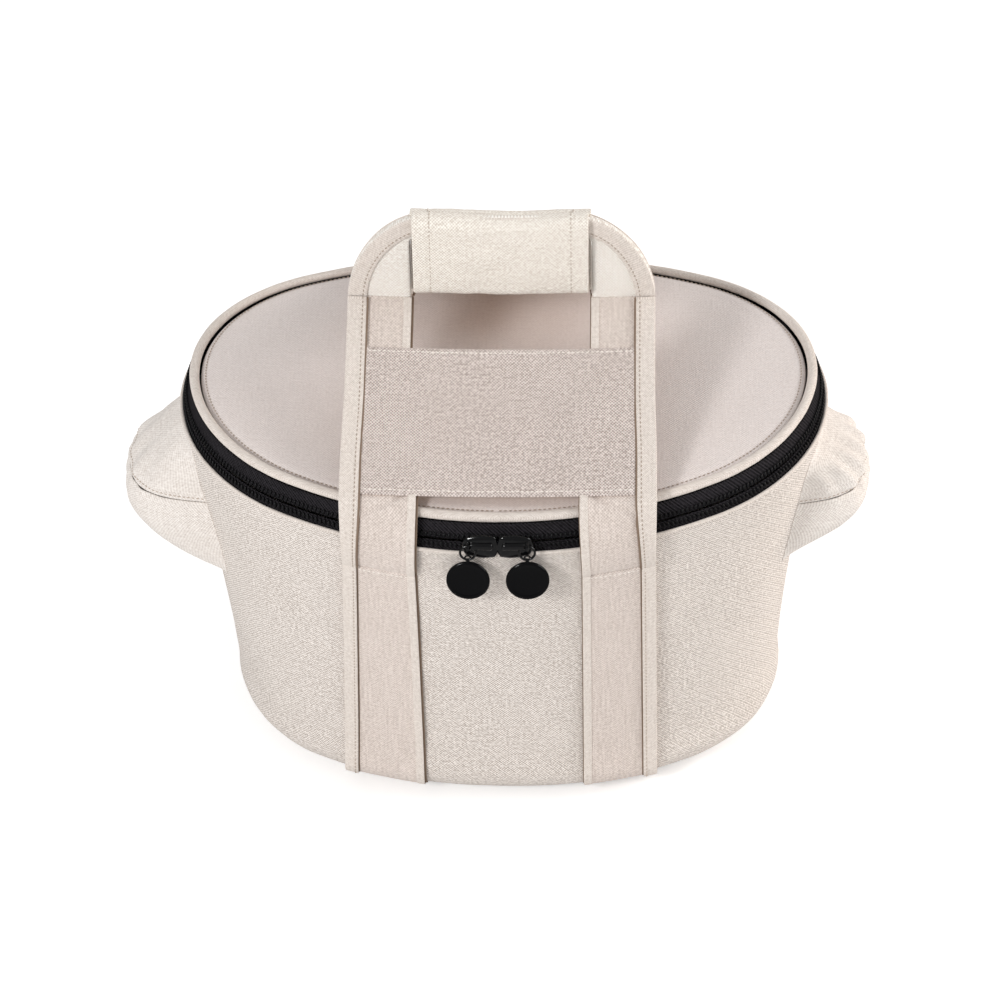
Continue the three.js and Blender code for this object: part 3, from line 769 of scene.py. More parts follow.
def thicken(piece: bpy.types.Object, thickness: float, levels: int = 1) -> bpy.types.Object:
    """Gives a sheet its thickness, inwards from its face, rounds its edges, and returns it."""
    shell = piece.modifiers.new("thickness", "SOLIDIFY")
    shell.thickness = thickness * MM
    shell.offset = -1.0
    shell.use_even_offset = True
    if levels:
        smooth = piece.modifiers.new("softness", "SUBSURF")
        smooth.levels = smooth.render_levels = levels
    return piece


def mirrored(place: Place, side: Side, end: End) -> Place:
    """Puts a surface of the front right of the bag in another quarter.

    Args:
        place: The surface at the front right.
        side: The half it goes to.
        end: The end it goes to.

    Returns:
        The surface there, with its face still outwards.
    """
    turned = side.value * end.value > 0

    def moved(u: float, v: float) -> Point:
        """Returns the point there."""
        x, y, z = place(1 - u if turned else u, v)
        return side.value * x, -end.value * y, z
    return moved


def dress(piece: bpy.types.Object, finish: Finish, nodes: Iterable[str]) -> None:
    """Gives a piece its finish's material, and hides the solids that it replaces."""
    piece.data.materials.append(finish.made)
    if nodes:
        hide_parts(*nodes)


def settle(piece: bpy.types.Object, body: str, finish: Finish, *nodes: str) -> bpy.types.Object:
    """Dresses a piece that moves with one body.

    Args:
        piece: The piece, in place.
        body: The body that it rides on.
        finish: Its finish.
        nodes: The solids that it replaces.

    Returns:
        The piece.
    """
    dress(piece, finish, nodes)
    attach(piece, body)
    LOG.info("%s rides on %s", piece.name, body)
    return piece


def bead() -> bpy.types.Mesh:
    """Returns a small rounded form, one unit in radius, that stitches and teeth are copies of."""
    work = bmesh.new()
    bmesh.ops.create_uvsphere(work, u_segments=6, v_segments=4, radius=1.0)
    mesh = bpy.data.meshes.new("bead")
    for face in work.faces:
        face.smooth = True
    work.to_mesh(mesh)
    work.free()
    return mesh


def string_beads(name: str, stations: Iterable[Matrix]) -> bpy.types.Object:
    """Returns one piece with a bead at every station, whose matrix turns and scales it."""
    pattern = bead()
    work = bmesh.new()
    for station in stations:
        before = len(work.verts)
        work.from_mesh(pattern)
        work.verts.ensure_lookup_table()
        for vertex in work.verts[before:]:
            vertex.co = station @ vertex.co
    bpy.data.meshes.remove(pattern)
    return to_object(name, work)


def walk(path: Callable[[float], Vector], pitch: float, samples: int = 400) -> list[float]:
    """Shares of a path that lie equally far apart.

    Args:
        path: Gives the point, in metres, for a share.
        pitch: Distance between them, in millimetres.
        samples: How finely the path is measured.

    Returns:
        The shares, each in the middle of its stretch.
    """
    lengths = run_lengths(path(index / samples) for index in range(samples + 1))
    count = max(round(lengths[-1] / (pitch * MM)), 1)
    shares = []
    index = 0
    for number in range(count):
        wanted = (number + 0.5) * lengths[-1] / count
        while lengths[index + 1] < wanted:
            index += 1
        step = lengths[index + 1] - lengths[index]
        shares.append((index + (wanted - lengths[index]) / step) / samples)
    return shares


@dataclass(frozen=True)
class Stitching:
    """A line of stitches on a surface."""

    pitch: float = 2.7
    length: float = 1.9
    width: float = 0.7

    def sew(self, name: str, place: Place, route: Callable[[float], tuple[float, float]]) -> bpy.types.Object:
        """Lays stitches along a route.

        Args:
            name: The piece's name.
            place: The surface that they lie on.
            route: Gives the surface's two shares for a share of the route.

        Returns:
            The stitches.
        """
        def on_surface(share: float) -> Vector:
            """Returns the point of the route, in metres."""
            return OVAL.saddle(place(*route(share)))

        stations = []
        for share in walk(on_surface, self.pitch):
            u, v = route(share)
            step = 0.002
            across = OVAL.saddle(place(u + step, v)) - OVAL.saddle(place(u - step, v))
            up = OVAL.saddle(place(u, v + step)) - OVAL.saddle(place(u, v - step))
            away = across.cross(up).normalized()
            ahead = (on_surface(min(share + step, 1.0)) - on_surface(max(share - step, 0.0))).normalized()
            turn = turned_to(ahead, away.cross(ahead).normalized(), away)
            scale = Matrix.Diagonal((self.length / 2 * MM, self.width / 2 * MM, self.width / 2 * MM, 1.0))
            stations.append(Matrix.Translation(on_surface(share)) @ turn @ scale)
        return string_beads(name, stations)


STITCH = Stitching()


# The bag's body


@dataclass
class BagBody:
    """The wall, base and their inner layers."""

    columns: int = 88
    inner_columns: int = 120
    rows: int = 44
    held: float = 0.05
    window: tuple[Point2, ...] = ((134.5, 32.0), (143.5, 36.5), (190.0, 22.5))
    hem_height: float = 4.0
    fold_radius: float = 1.15
    fold_ripple: Ripple = Ripple(0.12, 20.0, 3.3)
    fold_drop: float = 0.7
    fold_inset: float = 0.3

    def window_half(self, z: float) -> float:
        """Returns half the width of the way into an end pocket at a height, or 0 above and below it."""
        return next((mix(wide, narrow, (z - low) / (high - low))
                     for (low, wide), (high, narrow) in pairwise(self.window) if low <= z <= high), 0.0)

    def in_window(self, turn: float, z: float) -> bool:
        """Returns whether a point of the wall lies in the way into an end pocket."""
        beside = abs(abs((turn + 0.5) % 1.0 - 0.5) - 0.25) * OVAL.perimeter
        return beside < self.window_half(z)

    def trimmed(self, turn: float, z: float, face: Point2) -> Point2:
        """Moves a point that lies within half a face of the window's edge onto it.

        Args:
            turn: The point's place round the bag.
            z: Its height.
            face: Width and height of the faces there.

        Returns:
            Its turn and height on the edge, or as they were.
        """
        around = (turn + 0.5) % 1.0 - 0.5
        beside = (abs(around) - 0.25) * OVAL.perimeter
        bottom, top = self.window[0][0], self.window[-1][0]
        held = min(max(z, bottom), top)
        if abs(held - z) > face[1] / 2 or abs(beside) > self.window_half(held) + face[0] / 2:
            return turn, z
        ends = [end for end in (bottom, top) if abs(end - z) < face[1] / 2]
        level = ends[0] if ends else z
        half = self.window_half(level)
        if abs(abs(beside) - half) >= face[0] / 2:
            return turn, level
        shift = (math.copysign(half, beside) - beside) / OVAL.perimeter
        return turn + math.copysign(shift, shift * around), level

    def layer(self, name: str, turns: Point2, depth: float, top: float, columns: int) -> bpy.types.Object:
        """One layer of the wall, which bulges with the others.

        Args:
            name: The piece's name.
            turns: Where it starts and ends round the bag.
            depth: How far inside the canvas face its own face lies.
            top: Height of its top edge.
            columns: Faces round the bag.

        Returns:
            The layer, without its thickness.
        """
        face = ((turns[1] - turns[0]) * OVAL.perimeter / columns, (top - WALL.base_corner) / self.rows)

        def place(u: float, v: float) -> Point:
            """Returns a point of the layer."""
            offset, z = WALL.section(v, top, depth)
            turn, level = self.trimmed(mix(*turns, u), z, face)
            if level != z:
                offset, z = WALL.offset(level) - depth, level
            slack = WALL.drape(turn, z) * ease(v / self.held)
            return *OVAL.point(turn, offset + slack), z

        def open_at(u: float, v: float) -> bool:
            """Returns whether the layer is cut away there."""
            return self.in_window(mix(*turns, u), WALL.section(v, top, depth)[1])
        return loft(name, columns, self.rows, place, open_at)

    def disc(self, name: str, high: float, rings: int = 10) -> bpy.types.Object:
        """Returns a flat oval sheet inside the base seam, with its face at a height."""
        def place(u: float, v: float) -> Point:
            """Returns a point of the sheet."""
            x, y = OVAL.point(u, WALL.flat_offset)
            return x * (1 - v), y * (1 - v), high
        return lay_flat(loft(name, 72, rings, place))

    def build(self) -> None:
        """Builds and dresses the body."""
        half = WALL.gap / 2 / OVAL.perimeter
        for end, start in ((End.FRONT, -0.25), (End.REAR, 0.25)):
            turns = (start + half, start + 0.5 - half)
            panel = self.layer(f"{end.word}_wall_canvas", turns, 0.0, WALL.body_top, self.columns)
            settle(thicken(panel, WALL.canvas), Body.BAG, Finish.BODY, f"{end.word}_panel")
        layers = (("wall_padding", WALL.canvas + WALL.gap, WALL.foam, 0, Finish.FOAM, "wall_foam"),
                  ("wall_lining_cloth", WALL.lining_depth, WALL.lining, 1, Finish.LINING, "wall_lining"))
        for name, depth, thickness, levels, finish, node in layers:
            layer = self.layer(name, (0.0, 1.0), depth, BAND.foot - WALL.gap, self.inner_columns)
            settle(thicken(layer, thickness, levels), Body.BAG, finish, node)
        levels = (("base_canvas", WALL.canvas, WALL.canvas, Finish.BODY, "base_panel"),
                  ("base_stiffener", 3.7, 2.0, Finish.BOARD, "base_board"),
                  ("base_padding", 6.7, 2.7, Finish.FOAM, "base_foam"),
                  ("base_lining_cloth", 7.8, WALL.lining, Finish.LINING, "base_lining"))
        for name, high, thickness, finish, node in levels:
            settle(thicken(self.disc(name, high), thickness), Body.BAG, finish, node)
        self.build_rim()

    def build_rim(self) -> None:
        """Builds the binding inside the rim and the folded edge of the canvas."""
        def inside(u: float, v: float) -> Point:
            """Returns a point of the binding's inner face."""
            z = BAND.foot + self.hem_height * v
            return *OVAL.point(-u, WALL.offset(BAND.foot) - WALL.lining_depth - WALL.lining), z
        width = WALL.lining_depth + WALL.lining - WALL.canvas - 2 * WALL.gap - BAND.tape
        settle(thicken(loft("rim_binding", 140, 3, inside), width), Body.BAG, Finish.LINING, "rim_hem")

        def fold(u: float, v: float) -> Point:
            """Returns a point of the canvas edge where it turns over."""
            angle = math.pi * (1.5 * v - 0.25)
            z = WALL.body_top - self.fold_drop
            radius = self.fold_radius + self.fold_ripple.at(u * OVAL.perimeter)
            middle = WALL.offset(z) - self.fold_inset
            return *OVAL.point(u, middle + radius * math.cos(angle)), z + radius * math.sin(angle)
        settle(loft("rim_fold", 200, 8, fold), Body.BAG, Finish.TRIM)


@dataclass(frozen=True)
class Pleats:
    """Rounded pleats above a pocket's cross seam, and how many lie across it and slant up it."""

    depth: float
    across: float
    slant: float
    band: Crease

    def at(self, across: float, above: float) -> float:
        """Returns how far they move the cloth at a place across the pocket and above its seam."""
        turns = self.across * across + self.slant * above
        return self.depth * math.cos(2 * math.pi * turns) * self.band.at(above)


@dataclass(frozen=True)
class PocketForm:
    """How one pocket hangs: its heights, its reach, how full it is, and its waves and pleats."""

    reach: float
    bottom: float
    seam: float
    top: float
    foot_power: float
    swell: float
    fade: float
    fade_power: float
    lower: Ripple
    upper: Ripple
    pleats: Pleats

    @property
    def seam_share(self) -> float:
        """Returns the cross seam's share of the pocket's height."""
        return (self.seam - self.bottom) / (self.top - self.bottom)

    def bulge(self, across: float, share: float) -> float:
        """Returns how far the pocket bulges, as a share of its reach."""
        sideways = max(1 - across ** 4, 0.0) ** 1.4
        if share <= self.seam_share:
            part = share / self.seam_share
            return sideways * math.sin(math.pi / 2 * part) ** self.foot_power * (
                1 + self.swell * math.sin(math.pi * part))
        above = (share - self.seam_share) / (1 - self.seam_share)
        return sideways * max(1 - above ** self.fade, 0.0) ** self.fade_power


@dataclass
class EndPockets:
    """The domed pockets at the two ends of the bag, each as it hangs in the photograph."""

    forms: dict[Side, PocketForm] = field(default_factory=lambda: {
        Side.LEFT: PocketForm(
            reach=39.9, bottom=121.0, seam=167.1, top=203.3, foot_power=0.38, swell=0.2, fade=1.17, fade_power=1.34,
            lower=Ripple(1.1, 30.0, 1.0), upper=Ripple(1.4, 20.0, 4.0),
            pleats=Pleats(1.2, 2.6, -0.8, Crease(1.0, 0.15, 0.25))),
        Side.RIGHT: PocketForm(
            reach=31.6, bottom=131.5, seam=167.0, top=193.0, foot_power=0.53, swell=0.27, fade=2.0, fade_power=1.55,
            lower=Ripple(1.1, 30.0, 3.0), upper=Ripple(1.4, 20.0, 6.0),
            pleats=Pleats(3.0, 3.6, 0.3, Crease(1.0, 0.3, 0.3)))})
    half_width_top: float = 36.0
    half_width_bottom: float = 50.0
    seat: float = 0.4
    lining_gap: float = 1.0
    seam_depth: float = -1.1
    seam_width: float = 0.025
    gathers: float = 5.3
    gather_depth: float = 0.6
    gather_width: float = 0.16

    def fold(self, form: PocketForm, across: float, share: float) -> float:
        """How far gathers and creases move the cloth.

        Args:
            form: Which pocket's form.
            across: Place across it, from -1 at the front to 1 at the rear.
            share: Place up it.

        Returns:
            The distance outwards.
        """
        above = (share - form.seam_share) / (1 - form.seam_share)
        held = (1 - across ** 4) ** 1.5
        seam = self.seam_depth * hump(share, form.seam_share, self.seam_width)
        if above <= 0:
            soft = form.lower.at(60 * across, 80 * share)
            gathers = math.cos(2 * math.pi * self.gathers * across) * hump(share, form.seam_share, self.gather_width)
            return held * ((soft + self.gather_depth * gathers) * ease(share / 0.2) + seam)
        fade = ease(above / 0.12) * ease((1 - above) / 0.3)
        return held * (fade * (form.pleats.at(across, above) + form.upper.at(60 * across, 60 * above)) + seam)

    def surface(self, side: Side, low: float, high: float, depth: float, loose: bool = True) -> Place:
        """Returns the surface of one panel, between two shares of the height, at the right end."""
        form = self.forms[side]

        def place(u: float, v: float) -> Point:
            """Returns a point of the panel."""
            across = math.sin(math.pi * (u - 0.5))
            share = mix(low, high, v)
            z = mix(form.bottom + depth, form.top - depth, share)
            half = mix(self.half_width_bottom, self.half_width_top, share) - depth
            out = (form.reach - depth) * form.bulge(across, share)
            turn = 0.25 + across * half / OVAL.perimeter
            wall = WALL.offset(z) + WALL.drape(side.value * turn, z) + self.seat
            if loose:
                out += self.fold(form, across, share)
            x, y = OVAL.point(turn, wall + max(out, 0.0))
            return x, y, z
        return place

    def build(self) -> None:
        """Builds and dresses both pockets."""
        for side, form in self.forms.items():
            gap = WALL.gap / 2 / (form.top - form.bottom)
            for word, low, high in (("top", form.seam_share + gap, 1.0), ("lower", 0.0, form.seam_share - gap)):
                panel = loft(f"{side.word}_pocket_{word}", 64, 36,
                             mirrored(self.surface(side, low, high, 0.0), side, End.FRONT))
                # The pockets take the lighter copy of the cream canvas, which paints in more light.
                settle(thicken(panel, WALL.canvas), Body.BAG, Finish.POCKET, f"{side.word}_ear_{word}")
            inside = self.surface(side, 0.0, 1.0, WALL.canvas + self.lining_gap, False)
            lining = loft(f"{side.word}_pocket_lining", 40, 32, mirrored(inside, side, End.FRONT))
            settle(thicken(lining, WALL.lining), Body.BAG, Finish.LINING, f"{side.word}_ear_lining")
            top = mirrored(self.surface(side, form.seam_share + gap, 1.0, 0.0), side, End.FRONT)
            seam = STITCH.sew(f"{side.word}_pocket_stitches", top, lambda share: (mix(0.03, 0.97, share), 0.06))
            settle(seam, Body.BAG, Finish.SOFT)


# The zip and the lid


@dataclass
class Zip:
    """The tapes, the coils' teeth and the gussets behind them."""

    steps: int = 48
    gusset_steps: int = 3
    tooth_pitch: float = 2.54
    tooth_length: float = 4.0
    tooth_width: float = 1.5
    tooth_height: float = 1.5
    tooth_stand: float = 0.9
    tooth_slant: float = 14.0

    @property
    def end(self) -> float:
        """Returns how far round, each way, the zip reaches."""
        return (self.steps / 2 - self.gusset_steps) / self.steps

    def strip(self, turns: tuple[float, float], low: float, high: float) -> Place:
        """Returns the band's surface between two turns and two heights."""
        def place(u: float, v: float) -> Point:
            """Returns a point of the band."""
            z = mix(low, high, v)
            return *OVAL.point(mix(*turns, u), BAND.offset(z)), z
        return place

    def teeth(self, name: str, upward: float) -> bpy.types.Object:
        """Returns one coil's teeth, above the seam for 1 and below it for -1."""
        middle = BAND.seam + upward * (BAND.spacing / 2 + self.tooth_length / 2 - 0.15)
        length = 2 * self.end * OVAL.perimeter
        count = round(length / self.tooth_pitch)
        size = Vector((self.tooth_length, self.tooth_width, self.tooth_height)) * (MM / 2)
        stations = []
        for number in range(count):
            share = (number + (0.5 if upward > 0 else 0.0)) / count
            turn = mix(-self.end, self.end, share)
            low, high, beyond = (OVAL.saddle((*OVAL.point(at, BAND.offset(z)), z))
                                 for at, z in ((turn, middle), (turn, middle + 1), (turn + 0.001, middle)))
            ahead = beyond - low
            up = (high - low).normalized()
            away = ahead.cross(up).normalized()
            slanted = turned_to(up, up.cross(away), away) @ Matrix.Rotation(
                math.radians(self.tooth_slant) * upward, 4, "Z")
            at = low + away * self.tooth_stand * MM
            stations.append(Matrix.Translation(at) @ slanted @ Matrix.Diagonal((*size, 1.0)))
        return string_beads(name, stations)

    def build(self) -> None:
        """Builds and dresses the zip."""
        half = BAND.spacing / 2
        zip_turns = (-self.end, self.end)
        tape_top = OVAL.rim_height - WALL.gap
        tapes = (("lower_tape", BAND.foot, BAND.seam - half, Body.BAG, "lower_zip_tape"),
                 ("upper_tape", BAND.seam + half, tape_top, Body.LID, "upper_zip_tape"))
        for name, low, high, body, node in tapes:
            tape = loft(name, 220, 6, self.strip(zip_turns, low, high))
            settle(thicken(tape, BAND.tape, 0), body, Finish.TAPE, node)
        for word, upward, body in (("lower", -1.0, Body.BAG), ("upper", 1.0, Body.LID)):
            coil = self.teeth(f"{word}_coil_teeth", upward)
            settle(coil, body, Finish.COIL, f"{word}_zip_coil")
        rear = (self.end, 1 - self.end)
        gussets = (("lower", BAND.foot, BAND.seam - WALL.gap / 2, Body.BAG),
                   ("upper", BAND.seam + WALL.gap / 2, tape_top, Body.LID))
        for word, low, high, body in gussets:
            gusset = loft(f"rear_gusset_{word}_cloth", 30, 6, self.strip(rear, low, high))
            settle(thicken(gusset, BAND.tape), body, Finish.BODY, f"rear_gusset_{word}")


@dataclass
class Lid:
    """The lid's panel, padding and lining, and the piping round it."""

    piping_radius: float = 2.8
    piping_lift: float = 2.2
    panel_rise: float = 3.4
    shoulder: float = 3.8
    groove: float = 2.6
    padding_inset: float = 5.0
    far_sag: float = 2.8
    sag_start: float = -20.0
    sag_width: float = 40.0
    waves: Ripple = Ripple(0.9, 110.0, 6.1)
    held_edge: float = 30.0
    seam_groove: Crease = Crease(-0.6, 7.0, 2.0)
    cord_ripple: Ripple = Ripple(0.12, 14.0, 7.7)
    cord_thinning: float = 0.4

    @property
    def panel_offset(self) -> float:
        """Returns the offset of the panel's edge."""
        return -2 * self.piping_radius - WALL.gap

    @property
    def panel_top(self) -> float:
        """Returns the height of the panel's face."""
        return OVAL.rim_height + self.panel_rise

    def rearward(self, y: float) -> float:
        """Returns how far towards the rear a place lies, from 0 to 1."""
        return ease((y - self.sag_start) / OVAL.half_width)

    def surface(self, high: float, loose: bool) -> Place:
        """Returns a lid layer's face at a height, from its edge to its middle."""
        def place(u: float, v: float) -> Point:
            """Returns a point of the layer."""
            inward = 1 - (1 - v) ** 1.6
            x, y = OVAL.point(u, self.panel_offset - (0.0 if loose else self.padding_inset))
            x, y = x * (1 - inward), y * (1 - inward)
            from_edge = inward * OVAL.half_width
            z = high - self.far_sag * self.rearward(y) * (1 - ease(from_edge / self.sag_width))
            if loose:
                z -= self.groove * (1 - ease(from_edge / self.shoulder))
                z += self.waves.at(x, y) * ease(from_edge / self.held_edge) + self.seam_groove.at(from_edge)
            return x, y, z
        return place

    def build(self) -> None:
        """Builds and dresses the lid."""
        face = self.surface(self.panel_top, True)
        panel = lay_flat(loft("lid_canvas", 128, 48, face))
        settle(thicken(panel, WALL.canvas), Body.LID, Finish.LID, "lid_panel")
        foam_top = self.panel_top - WALL.canvas - WALL.gap
        foam = loft("lid_padding", 96, 20, self.surface(foam_top, False))
        settle(thicken(foam, WALL.foam, 0), Body.LID, Finish.FOAM, "lid_foam")
        lining = lay_flat(loft("lid_lining_cloth", 96, 20, self.surface(foam_top - WALL.foam - WALL.gap, False)))
        settle(thicken(lining, WALL.lining), Body.LID, Finish.LINING, "lid_lining")

        def cord(u: float, v: float) -> Point:
            """Returns a point of the piping."""
            angle = 2 * math.pi * v
            y = OVAL.point(u, 0.0)[1]
            thinner = self.cord_thinning * self.rearward(y)
            radius = self.piping_radius - thinner + self.cord_ripple.at(u * OVAL.perimeter)
            height = OVAL.rim_height + self.piping_lift + WALL.gap - self.far_sag * self.rearward(y)
            x, y = OVAL.point(u, -self.piping_radius + radius * math.cos(angle))
            return x, y, height + radius * math.sin(angle)
        settle(loft("lid_piping_cord", 240, 12, cord, closed=True), Body.LID, Finish.TRIM, "lid_piping")
        line = STITCH.sew("lid_stitches", face, lambda share: (share * 0.998, 0.012))
        settle(line, Body.LID, Finish.THREAD)


# Straps and handles


class Lane(Enum):
    """The strips across a strap, by the word in their pieces' names."""

    FACE = "strap"
    BINDING = "binding"
    FOLD = "fold"
    # Painted shadow line: a dark strip along the binding's inner edge, in place of the shade there.
    SEAM = "raw_edge"
    # Painted shadow gap: a dark strip below the face at the strap's inner edge, in place of the shade that the strap
    # casts on the wall.
    EDGE = "inner_edge"
    CROSS = "cross"


@dataclass
class StrapShape:
    """The sizes of an end's straps, and their route over the rim to the handle."""

    bend_rise: float = 61.9
    tuck: float = 0.0
    inner: float = 45.0
    outer: float = 87.0
    leg_inner: float = 50.5
    leg_outer: float = 86.0
    webbing: float = 2.4
    binding_width: float = 11.0
    binding: float = 1.0
    fold_width: float = 4.4
    low_tuck: float = 1.6
    low_narrowing: float = 3.0
    splay: dict[Side, float] = field(default_factory=lambda: {Side.RIGHT: 2.0, Side.LEFT: 7.0})
    # Width of the painted shadow gap at the inner edge of each side's strap.
    gap_width: dict[Side, float] = field(default_factory=lambda: {Side.RIGHT: 0.6, Side.LEFT: 1.3})
    stitch_drop: float = 37.0
    foot: float = 3.0
    fold_y: float = 119.5
    fold_rise: float = 9.0
    bulge: float = 13.0
    over_rim: float = 10.5
    rise: float = 15.0
    fall: float = 4.0
    arch_y: float = 3.05
    bend_round: float = 1.6
    panel_start: float = 2.0
    panel_end: float = 94.5
    ripple: Ripple = Ripple(0.35, 26.0, 9.4)
    upper_crease: float = 13.0
    upper_slope: float = 0.7
    valley: Crease = Crease(-1.7, 0.0, 1.5)
    ridge: Crease = Crease(1.2, -5.0, 3.5)
    lower_crease: float = 4.0
    lower_slope: float = 0.6
    lower_valley: Crease = Crease(-0.9, 0.0, 1.6)

    @cached_property
    def top(self) -> float:
        """Returns the height of the cross stitching."""
        return OVAL.rim_height - self.stitch_drop

    @cached_property
    def fold_z(self) -> float:
        """Returns the height where the strap starts up the handle's plane."""
        return OVAL.rim_height + self.fold_rise

    @cached_property
    def bend_z(self) -> float:
        """Returns the height where the handle turns upright."""
        return OVAL.rim_height + self.bend_rise

    @cached_property
    def plane_length(self) -> float:
        """Returns the length of the handle's leaning plane."""
        return math.hypot(self.fold_y - self.arch_y, self.bend_z - self.fold_z)

    @cached_property
    def plane_angle(self) -> float:
        """Returns how steeply the plane leans."""
        return math.atan2(self.bend_z - self.fold_z, self.fold_y - self.arch_y)

    def pulled(self, along: float) -> float:
        """Returns how far towards the middle the soft strap is drawn, most at the fold."""
        whole = self.plane_length if along > 0 else self.over_length
        return self.tuck * ease(1 - abs(along) / whole)

    def span(self, lane: Lane, along: float, side: Side) -> Point2:
        """The edges of a strip of the strap, which narrows under the cross panel.

        Args:
            lane: Which strip.
            along: Length up the handle's plane, below 0 before it.
            side: Which half of the bag.

        Returns:
            x of its inner and its outer edge.
        """
        narrowed = ease((along - 20) / 50)
        low = ease(-along / self.over_length)
        inner = mix(self.inner, self.leg_inner, narrowed) - self.pulled(along) + self.low_tuck * low
        outer = mix(self.outer, self.leg_outer, narrowed) - self.pulled(along)
        edge = outer - self.binding_width + self.low_narrowing * low
        # The last two spans carry painted shadow: a dark line along the binding's inner edge and a dark gap along the
        # strap's inner edge.
        spans = {Lane.FACE: (inner, outer), Lane.BINDING: (edge, outer), Lane.CROSS: (inner, edge),
                 Lane.FOLD: (inner - 0.4, inner + self.fold_width), Lane.SEAM: (edge - 0.9, edge + 0.3),
                 Lane.EDGE: (inner - 0.3 - self.gap_width[side], inner)}
        return spans[lane]

    def splayed(self, lane: Lane, side: Side) -> Point2:
        """Returns how far a strip's two edges spread at the strap's foot."""
        spread = self.splay[side]
        spreads = {Lane.FACE: (0.0, spread), Lane.BINDING: (spread, spread), Lane.SEAM: (spread, spread)}
        return spreads.get(lane, (0.0, 0.0))

    def plane(self, along: float, lift: float) -> Point2:
        """A point of the handle's section.

        Args:
            along: Length from the fold, up the plane and then upright.
            lift: Distance in front of it.

        Returns:
            Its y and z.
        """
        past = along - self.plane_length
        share = min(max((past + self.bend_round) / (2 * self.bend_round), 0.0), 1.0)
        angle = mix(self.plane_angle, math.pi / 2, share)
        cut = self.bend_round * share * (1 - share)
        on_plane = min(along, self.plane_length)
        y = -self.fold_y + on_plane * math.cos(self.plane_angle) - cut * math.sin(angle) / 2
        z = self.fold_z + on_plane * math.sin(self.plane_angle) + max(past, 0.0) + cut * math.cos(angle) / 2
        return y - lift * math.sin(angle), z + lift * math.cos(angle)

    def over(self, x: float, share: float) -> tuple[float, float, float, float]:
        """A point of the strap between the cross stitching and the fold.

        Args:
            x: Place across the bag.
            share: Share of the way, 0 at the stitching.

        Returns:
            Its y and z, and the y and z of the way it heads.
        """
        foot = (-OVAL.reach(x, WALL.offset(self.top) + WALL.gap + self.webbing / 2), self.top + WALL.gap / 2)
        bulge = (-OVAL.reach(x, self.bulge), self.top + self.rise)
        rim = (-OVAL.reach(x, self.over_rim), self.fold_z - self.fall)
        fold = (-self.fold_y, self.fold_z)
        rest = 1 - share
        weights = (rest ** 3, 3 * rest ** 2 * share, 3 * rest * share ** 2, share ** 3)
        slopes = (-3 * rest ** 2, 3 * rest ** 2 - 6 * rest * share, 6 * rest * share - 3 * share ** 2,
                  3 * share ** 2)
        corners = (foot, bulge, rim, fold)
        y, z, ahead_y, ahead_z = (sum(weight * corner[axis] for weight, corner in zip(parts, corners))
                                  for parts, axis in ((weights, 0), (weights, 1), (slopes, 0), (slopes, 1)))
        return y, z, ahead_y, ahead_z

    @cached_property
    def over_length(self) -> float:
        """Returns the length of the strap between the cross stitching and the fold."""
        return run_lengths(Vector(self.over(self.inner, step / 20)[:2]) for step in range(21))[-1]

    def slack(self, x: float, length: float, stop: float) -> float:
        """How far ripples and slanting creases move a free strap.

        Args:
            x: Place across the bag.
            length: Length from the cross stitching.
            stop: Length at which the strap ends.

        Returns:
            The distance outwards.
        """
        from_binding = self.outer - self.binding_width - x
        upper = length - (self.over_length - self.upper_crease + self.upper_slope * from_binding)
        lower = length - (self.lower_crease + self.lower_slope * from_binding)
        slant = self.valley.at(upper) + self.ridge.at(upper) + self.lower_valley.at(lower)
        fades = ease(length / 8) * ease((stop - length) / 10)
        return fades * (self.ripple.at(x, length) + slant * ease((from_binding + 2) / 6))

    def free(self, lane: Lane, side: Side, stop: float, lift: float) -> Place:
        """The surface of a strip of the strap from the cross stitching to a stop up the plane.

        Args:
            lane: Which strip.
            side: Which half of the bag.
            stop: Length up the plane where it ends.
            lift: How far in front of the strap's middle the surface lies.

        Returns:
            The surface at the front right.
        """
        whole = self.over_length + stop

        def place(u: float, v: float) -> Point:
            """Returns a point of the strap."""
            length = v * whole
            along = length - self.over_length
            x = mix(*self.span(lane, along, side), u)
            out = lift + self.slack(x, length, whole)
            if along > 0:
                return x, *self.plane(along, out)
            y, z, ahead_y, ahead_z = self.over(x, length / self.over_length)
            size = math.hypot(ahead_y, ahead_z)
            return x, y - out * ahead_z / size, z + out * ahead_y / size
        return place

    def sewn(self, lane: Lane, side: Side, lift: float) -> Place:
        """Returns the surface of a strip of the strap on the wall, from its foot to the cross stitching."""
        height = WALL.corner_length + self.top - WALL.base_corner
        low = WALL.base_corner * math.acos(1 - self.foot / WALL.base_corner) / height
        start, end = self.span(lane, -self.over_length, side)
        start_spread, end_spread = self.splayed(lane, side)

        def place(u: float, v: float) -> Point:
            """Returns a point of the strap."""
            x = mix(start + start_spread * (1 - v), end + end_spread * (1 - v), u)
            offset, z = WALL.section(mix(low, 1.0, v), self.top - WALL.gap / 2)
            below = math.asin(max(WALL.base_corner - z, 0.0) / WALL.base_corner)
            slack = WALL.drape(OVAL.arc_at(x) / OVAL.perimeter, z)
            flush = lift * mix(0.2, 1.0, ease(v / 0.14))
            outward = offset + slack + flush * math.cos(below)
            return x, -OVAL.reach(x, outward), max(z - flush * math.sin(below), 0.4)
        return place


STRAPS = {End.FRONT: StrapShape(), End.REAR: StrapShape(bend_rise=58.9, tuck=12.0)}


